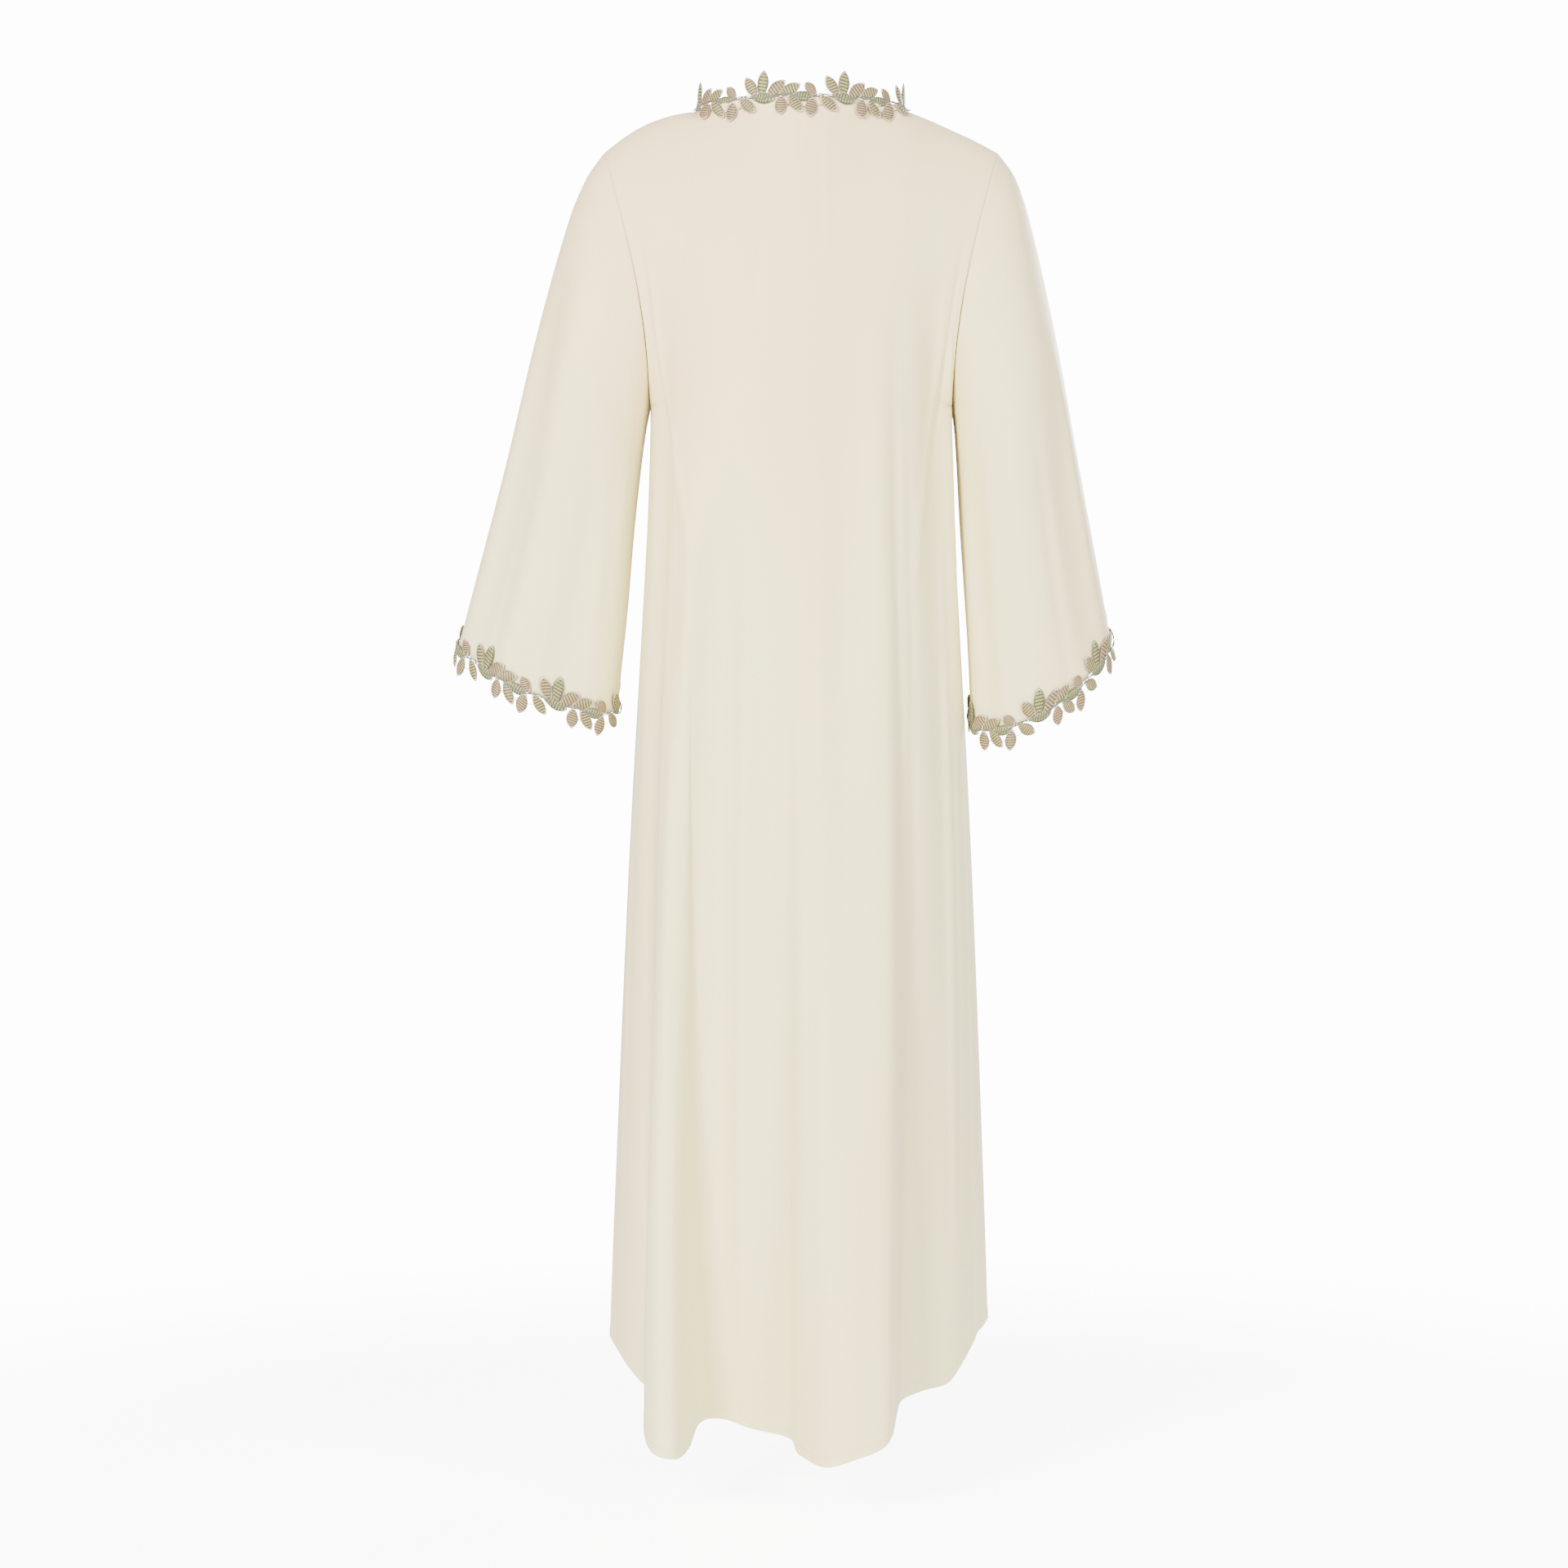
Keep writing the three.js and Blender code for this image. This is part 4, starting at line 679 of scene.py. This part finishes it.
def laceMeshes(length, phase, place):
    # leaves as closed lenses, cords as tubes round them, the stem and the ties, all bent by place(s, d, n)
    feet, ways, sizes, names, marks = leafFrames(length, phase)
    squares = np.stack([ways[:, 1], -ways[:, 0]], axis=-1)
    count, middle = len(feet), vine["middle"]

    def onLeaf(s, off, n):  # s of the length from the stalk, off of half the width, n out from the lace
        along, across = np.broadcast_arrays(s * sizes[:, 0, None, None], off * sizes[:, 1, None, None] / 2)
        flat = (feet[:, None, None] + ways[:, None, None] * along[..., None]
                + squares[:, None, None] * across[..., None])
        return np.concatenate([flat, np.broadcast_to(n, along.shape)[..., None]], axis=-1)

    rings, sides = vine["leafRings"], vine["leafSides"]
    (stalkEnd, tipEnd), (leastRise, rise) = vine["leafEnds"], vine["leafRise"]
    s = ((1 - np.cos(np.linspace(stalkEnd, np.pi - tipEnd, rings))) / 2)[:, None]
    turn = 2 * np.pi * np.arange(sides) / sides
    width = leafHalf(s) * vine["inCord"] + vine["leastHalf"]
    lens = onLeaf(s, width * np.cos(turn), middle + np.sin(turn) * (leastRise + rise * width))
    lensUv = np.stack(np.broadcast_arrays(s, 0.5 + np.cos(turn) / 2), axis=-1).reshape(-1, 2)
    # one cord all round each leaf
    steps, sides = vine["cordSteps"], vine["cordSides"]
    q = np.arange(steps)[:, None] / steps
    along = (1 - np.cos(np.pi * (1 - np.abs(2 * q - 1)))) / 2
    outline = onLeaf(along, np.sign(0.5 - q) * leafHalf(along), middle)[:, :, 0]
    outline[:, 0, 2] -= vine["stalkSunk"]
    cord = tube(outline, vine["cord"], sides, True)
    # points, UVs (none: the place in cm, clear of the leaves), quads, the layer of thread, leaves' threads
    parts = [(lens, np.tile(lensUv, (count, 1)), tubeQuads(count, rings, vine["leafSides"], False), 0, names),
             (cord, None, tubeQuads(count, steps, sides, True), 2, names), stemTubes(length, phase)]
    index = {mark: i for i, mark in enumerate(marks)}
    wanted = [((k, a), (k + (1 if b < a else 0), b)) for k, i in index for a, b in vine["ties"] if i == a]
    pairs = [(index[one], index[other]) for one, other in wanted if other in index]
    if pairs:
        parts.append(tieTubes(pairs, feet + ways * sizes[:, :1] * vine["tieAlong"]))
    vertices, uvs, quads, tints, fills = [], [], [], [], []
    start = 0
    for points, uv, faces, layer, owners in parts:
        flat = points.reshape(-1, 3)
        if volumeOf(flat, faces) < 0:
            faces = faces[:, ::-1]
        vertices.append(flat)
        quads.append(faces + start)
        start += len(flat)
        uvs.append(flat[:, :2] / vine["uvUnit"] + np.array([0, vine["uvShift"]]) if uv is None else uv)
        colours = [threads[name][layer] for name in owners] if owners else [vine["stemColour"]]
        raised = [threads[name][1] for name in owners] if layer == 0 else colours
        tints.append(np.repeat(colours, len(flat) // len(colours), axis=0))
        fills.append(np.repeat(raised, len(flat) // len(colours), axis=0))
    flat = np.concatenate(vertices)
    isLeaf = np.zeros(len(flat))
    isLeaf[:lens.size // 3] = 1
    attributes = {"edgeThread": np.concatenate(tints), "fillThread": np.concatenate(fills), "leaf": isLeaf}
    return place(*flat.T), np.concatenate(quads), np.concatenate(uvs), attributes


cuffBed = {"steps": 180, "edgeFrom": 0.96}  # edgeFrom: where the sleeve's last stretch begins


def cuffPlace(sleeve, panel):
    # round half the cuff by distance; up the sleeve above its edge, straight on below it
    half = np.linspace(0, 180, cuffBed["steps"] + 1)
    angle = sleeve["side"] * (90 * cut["side"][panel] - half)
    run = lengthsAlong(sleeveSurface(sleeve, angle, np.ones_like(angle)))

    def place(s, d, n):
        phi = np.interp(s, run, angle)
        edge = sleeveSurface(sleeve, phi, np.ones_like(phi))
        above = sleeveSurface(sleeve, phi, np.full_like(phi, cuffBed["edgeFrom"]))
        fall = (edge - above) / (1 - cuffBed["edgeFrom"])
        t = 1 + (vine["halfStem"] - d) / np.linalg.norm(fall, axis=-1)
        onCloth = sleeveSurface(sleeve, phi, np.minimum(t, 1))
        point = np.where((t > 1)[:, None], edge + fall * (t - 1)[:, None], onCloth)
        return point + sleeveNormals(sleeve, phi, np.ones_like(phi)) * (n + vine["lift"]["cuff"])[:, None]

    return place, run[-1]


neckBed = {  # mm and degrees; the last row is for the search of the cloth's height
    "step": 4, "rows": 9, "rays": 90, "reach": 44, "samples": 56, "turn": 7,
    "rise": {"back": 94, "front": 116, "side": 92},
    "deepest": 0.9, "halvings": 26, "rounds": 8, "least": 1e-6,
}


def heightOver(panel, x, y):
    # the yoke's height over a place in plan: f by halving on y, and at each f, u from x in a few rounds
    low, high = np.zeros_like(x), np.full_like(x, neckBed["deepest"])
    for _ in range(neckBed["halvings"]):
        f = (low + high) / 2
        edgeX = mix(cut["shoulder"], cut["underarm"], np.sin(np.pi / 2 * f))
        u = x / edgeX
        for _ in range(neckBed["rounds"]):
            safe = np.where(np.abs(u) < neckBed["least"], neckBed["least"], u)
            u = x / edgeX / mix(1, np.sin(np.pi / 2 * safe) / safe, smooth(f))
        point = yoke(panel, np.clip(u, -1, 1), f)
        inside = cut["side"][panel] * (point[..., 1] - y) < 0
        low, high = np.where(inside, f, low), np.where(inside, high, f)
    return point[..., 2]


def neckPlace(panel):
    # below the neckline on the cloth, straight out from the opening in plan; above it, standing up
    side, depth, half = cut["side"][panel], cut["neckDepth"][panel], cut["neckHalf"]
    angle = side * np.linspace(90, -90, neckBed["rays"] + 1)
    turn = np.radians(angle)

    def outAt(turn):  # square to the oval of the neckline, in plan
        return unit(np.stack([np.sin(turn) / half, side * np.cos(turn) / depth, 0 * turn], axis=-1))

    def rimAt(turn):  # the oval of the neckline, at the cut's height
        x = half * np.sin(turn)
        return np.stack([x, side * depth * np.cos(turn), topEdge(panel, x)], axis=-1)

    rim, out = rimAt(turn), outAt(turn)
    reach = np.linspace(0, neckBed["reach"], neckBed["samples"])
    plan = rim[:, None] + out[:, None] * reach[None, :, None]
    plan[:, 1:, 2] = heightOver(panel, plan[:, 1:, 0], plan[:, 1:, 1])
    run = lengthsAlong(plan)
    downs = np.arange(neckBed["rows"] + 1) * neckBed["step"]
    bed = np.stack([[np.interp(downs, r, axis) for axis in line.T] for r, line in zip(run, plan)])
    bed = bed.transpose(0, 2, 1)
    normals = np.cross(np.gradient(bed, axis=0), np.gradient(bed, axis=1))
    normals = unit(normals * np.sign(normals[..., 2:]))
    length = lengthsAlong(rim)

    def place(s, d, n):
        ray = np.interp(s, length, np.arange(neckBed["rays"] + 1.0))
        turn = np.radians(np.interp(s, length, angle))
        level = d - vine["halfStem"]
        down = np.maximum(-level, 0) / neckBed["step"]
        lying, normal = sampleGrid(bed, ray, down), sampleGrid(normals, ray, down)
        rise = np.radians(mix(neckBed["rise"]["side"], neckBed["rise"][panel], np.cos(turn)))[:, None]
        out, up = outAt(turn), np.array([0, 0, 1.0])
        standing = rimAt(turn) + (out * np.cos(rise) + up * np.sin(rise)) * np.maximum(level, 0)[:, None]
        upright = out * np.sin(rise) - up * np.cos(rise)
        share = smooth((level + neckBed["turn"]) / (2 * neckBed["turn"]))[:, None]
        point = np.where((level < 0)[:, None], lying, standing)
        return point + unit(mix(normal, upright, share)) * (n + vine["lift"]["neck"])[:, None]

    return place, length[-1]


threadSettings = {  # the ovals are times, plus and power; the bump is strength and metres; the thread relief's painted shade and highlight are a range of height and two shares of colour
    "ovalAcross": (2.0, -1.0, 2.4), "ovalAlong": (2.3, -1.2, 3.5), "ovalEdge": (0.74, 0.92),
    "bars": 54.0, "barSlant": 3.0, "barEdge": (-0.45, 0.35), "between": linear(46, 42, 30), "darkness": 0.9,
    "satin": 240.0, "threads": 5000.0, "unevenness": 0.8, "wornRange": (0.2, 0.8), "worn": (0.78, 1.08),
    "fillHeight": 0.8, "satinHeight": 0.06, "grainHeight": 0.25, "bump": (0.7, 0.0006),
    "shader": {"Roughness": 0.46, "Sheen Weight": 0.15},
}


def laceMaterial():
    settings = threadSettings
    material, tree, shader = newMaterial("leafThread", settings["shader"])
    place = put(tree, "ShaderNodeTexCoord")
    flat = put(tree, "ShaderNodeSeparateXYZ", None, {0: place.outputs["UV"]})
    margin, fill = attribute(tree, "edgeThread", "Color"), attribute(tree, "fillThread", "Color")
    # the fill lies inside an oval of the leaf, in bars of gold thread laid across it
    reaches = []
    for socket, key in ((flat.outputs[1], "ovalAcross"), (flat.outputs[0], "ovalAlong")):
        stretch, shift, power = settings[key]
        off = maths(tree, "ABSOLUTE", maths(tree, "MULTIPLY_ADD", socket, stretch, shift))
        reaches.append(maths(tree, "POWER", off, power))
    inside = ranged(tree, maths(tree, "ADD", *reaches), *settings["ovalEdge"], 1.0, 0.0)
    inside = maths(tree, "MULTIPLY", inside, attribute(tree, "leaf"))
    along = maths(tree, "MULTIPLY", flat.outputs[0], settings["bars"])
    slant = maths(tree, "MULTIPLY_ADD", flat.outputs[1], settings["barSlant"], along)
    bars = ranged(tree, maths(tree, "SINE", slant), *settings["barEdge"])
    dark = blended(tree, settings["darkness"], fill, settings["between"])
    colour = blended(tree, inside, margin, blended(tree, bars, dark, fill))
    # threads all over, and a satin of finer ones across the leaf
    threadHeight = threaded(tree, place.outputs["Object"], settings["threads"], settings["unevenness"])
    # painted shade and highlight: the colour darker in the low places of the thread relief and lighter on its
    # tops
    worn = ranged(tree, threadHeight, *settings["wornRange"], *settings["worn"])
    tree.links.new(shaded(tree, colour, worn), shader.inputs["Base Color"])
    satin = maths(tree, "SINE", maths(tree, "MULTIPLY", flat.outputs[0], settings["satin"]))
    height = maths(tree, "MULTIPLY", inside, maths(tree, "ADD", bars, settings["fillHeight"]))
    height = maths(tree, "MULTIPLY_ADD", satin, settings["satinHeight"], height)
    height = maths(tree, "MULTIPLY_ADD", threadHeight, settings["grainHeight"], height)
    tree.links.new(bumped(tree, *settings["bump"], height), shader.inputs["Normal"])
    return material


leafThread = laceMaterial()
laces = {  # where each lace starts in its repeat
    "neck_lace_back": ("neckLaceBack", neckPlace("back"), -11),
    "neck_lace_front": ("neckLaceFront", neckPlace("front"), 9),
    "cuff_lace_left_back": ("cuffLaceLeftBack", cuffPlace(sleeves["left"], "back"), 31),
    "cuff_lace_left_front": ("cuffLaceLeftFront", cuffPlace(sleeves["left"], "front"), 4),
    "cuff_lace_right_back": ("cuffLaceRightBack", cuffPlace(sleeves["right"], "back"), -13),
    "cuff_lace_right_front": ("cuffLaceRightFront", cuffPlace(sleeves["right"], "front"), 4),
}
for node, (name, (place, length), phase) in laces.items():
    points, quads, uv, attributes = laceMeshes(length, phase, place)
    pieces[node] = makePiece(name, points, quads, leafThread, uv, attributes)
    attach(pieces[node], "root")
    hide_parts(node)
    print(name, "made:", len(quads), "faces")

# ---- room, light and camera, in metres ----
roomSettings = {
    "floor": -1.452, "rings": 12, "spokes": 48, "hub": 0.02, "clear": 0.75, "faded": 1.7, "past": 0.1,
    "paper": {"Base Color": (0.95, 0.95, 0.945, 1), "Roughness": 0.9, "Emission Color": (1, 1, 1, 1)},
    "white": (1, 1, 1, 1), "glow": 7.0,
    "fill": 1.1, "seen": 14, "lightsFace": (0, 0, -0.7),
    # place, size, power and colour
    "keyLight": ((1.9, 3.1, 0.5), 1.0, 400, (1, 0.985, 0.96)),
    "fillLight": ((-2.3, 2.8, 0.2), 1.4, 190, (0.98, 0.99, 1)),
    "frontLight": ((-2.0, -3.0, 0.5), 1.2, 200, (1, 1, 1)),
}


def areaLight(name):  # a round lamp turned towards the middle of the dress
    place, size, power, colour = roomSettings[name]
    data = bpy.data.lights.new(name, "AREA")
    data.shape, data.size, data.energy, data.color = "DISK", size, power, colour
    lamp = bpy.data.objects.new(name, data)
    lamp.location = place
    towards = Vector(roomSettings["lightsFace"]) - Vector(place)
    lamp.rotation_euler = towards.to_track_quat("-Z", "Y").to_euler()
    bpy.context.scene.collection.objects.link(lamp)


def makeRoom():
    # the floor is a disc of even rings and spokes that fades out; the world and three lamps light it
    settings = roomSettings
    rings, spokes = settings["rings"], settings["spokes"]
    radius = np.linspace(settings["hub"], settings["faded"] + settings["past"], rings)[:, None]
    turn = np.linspace(0, 2 * np.pi, spokes, endpoint=False)[None, :]
    level = np.full((rings, spokes), settings["floor"])
    points = np.stack([radius * np.cos(turn), radius * np.sin(turn), level], -1)
    quads = wallFaces(rings, spokes, True)[:(rings - 1) * spokes, ::-1].tolist()
    mesh = bpy.data.meshes.new("paleFloor")
    mesh.from_pydata(points.reshape(-1, 3).tolist(), [], quads + [list(range(spokes))])
    material, tree, shader = newMaterial("palePaper", settings["paper"])
    place = put(tree, "ShaderNodeTexCoord").outputs["Object"]
    flat = put(tree, "ShaderNodeVectorMath", {"operation": "MULTIPLY"}, {0: place, 1: (1, 1, 0)}).outputs[0]
    away = put(tree, "ShaderNodeVectorMath", {"operation": "LENGTH"}, {0: flat}).outputs[1]
    fade = put(tree, "ShaderNodeMapRange", {"interpolation_type": "SMOOTHSTEP"},
               {0: away, 1: settings["clear"], 2: settings["faded"], 3: 1.0, 4: 0.0})
    tree.links.new(fade.outputs[0], shader.inputs["Alpha"])
    seen = put(tree, "ShaderNodeLightPath").outputs["Is Camera Ray"]
    glow = ranged(tree, seen, 0.0, 1.0, 0.0, settings["glow"])
    tree.links.new(glow, shader.inputs["Emission Strength"])
    mesh.materials.append(material)
    floor = bpy.data.objects.new("paleFloor", mesh)
    bpy.context.scene.collection.objects.link(floor)
    world = bpy.data.worlds.new("paleStudio")
    bpy.context.scene.world = world
    world.use_nodes = True
    tree = world.node_tree
    background = tree.nodes["Background"]
    background.inputs["Color"].default_value = settings["white"]
    seen = put(tree, "ShaderNodeLightPath").outputs["Is Camera Ray"]
    strength = ranged(tree, seen, 0.0, 1.0, settings["fill"], settings["seen"])
    tree.links.new(strength, background.inputs["Strength"])
    for name in ("keyLight", "fillLight", "frontLight"):
        areaLight(name)


makeRoom()
cameraSettings = {"place": (0.018, 3.4, -0.716), "sensor": 36, "wide": 1.670}  # wide: seen at the dress
camera = bpy.data.objects.new("camera", bpy.data.cameras.new("camera"))
camera.location = cameraSettings["place"]
camera.rotation_euler = (math.pi / 2, 0, math.pi)
camera.data.sensor_width = cameraSettings["sensor"]
camera.data.lens = cameraSettings["sensor"] * cameraSettings["place"][1] / cameraSettings["wide"]
bpy.context.scene.collection.objects.link(camera)
bpy.context.scene.camera = camera
print("room, light and camera set")
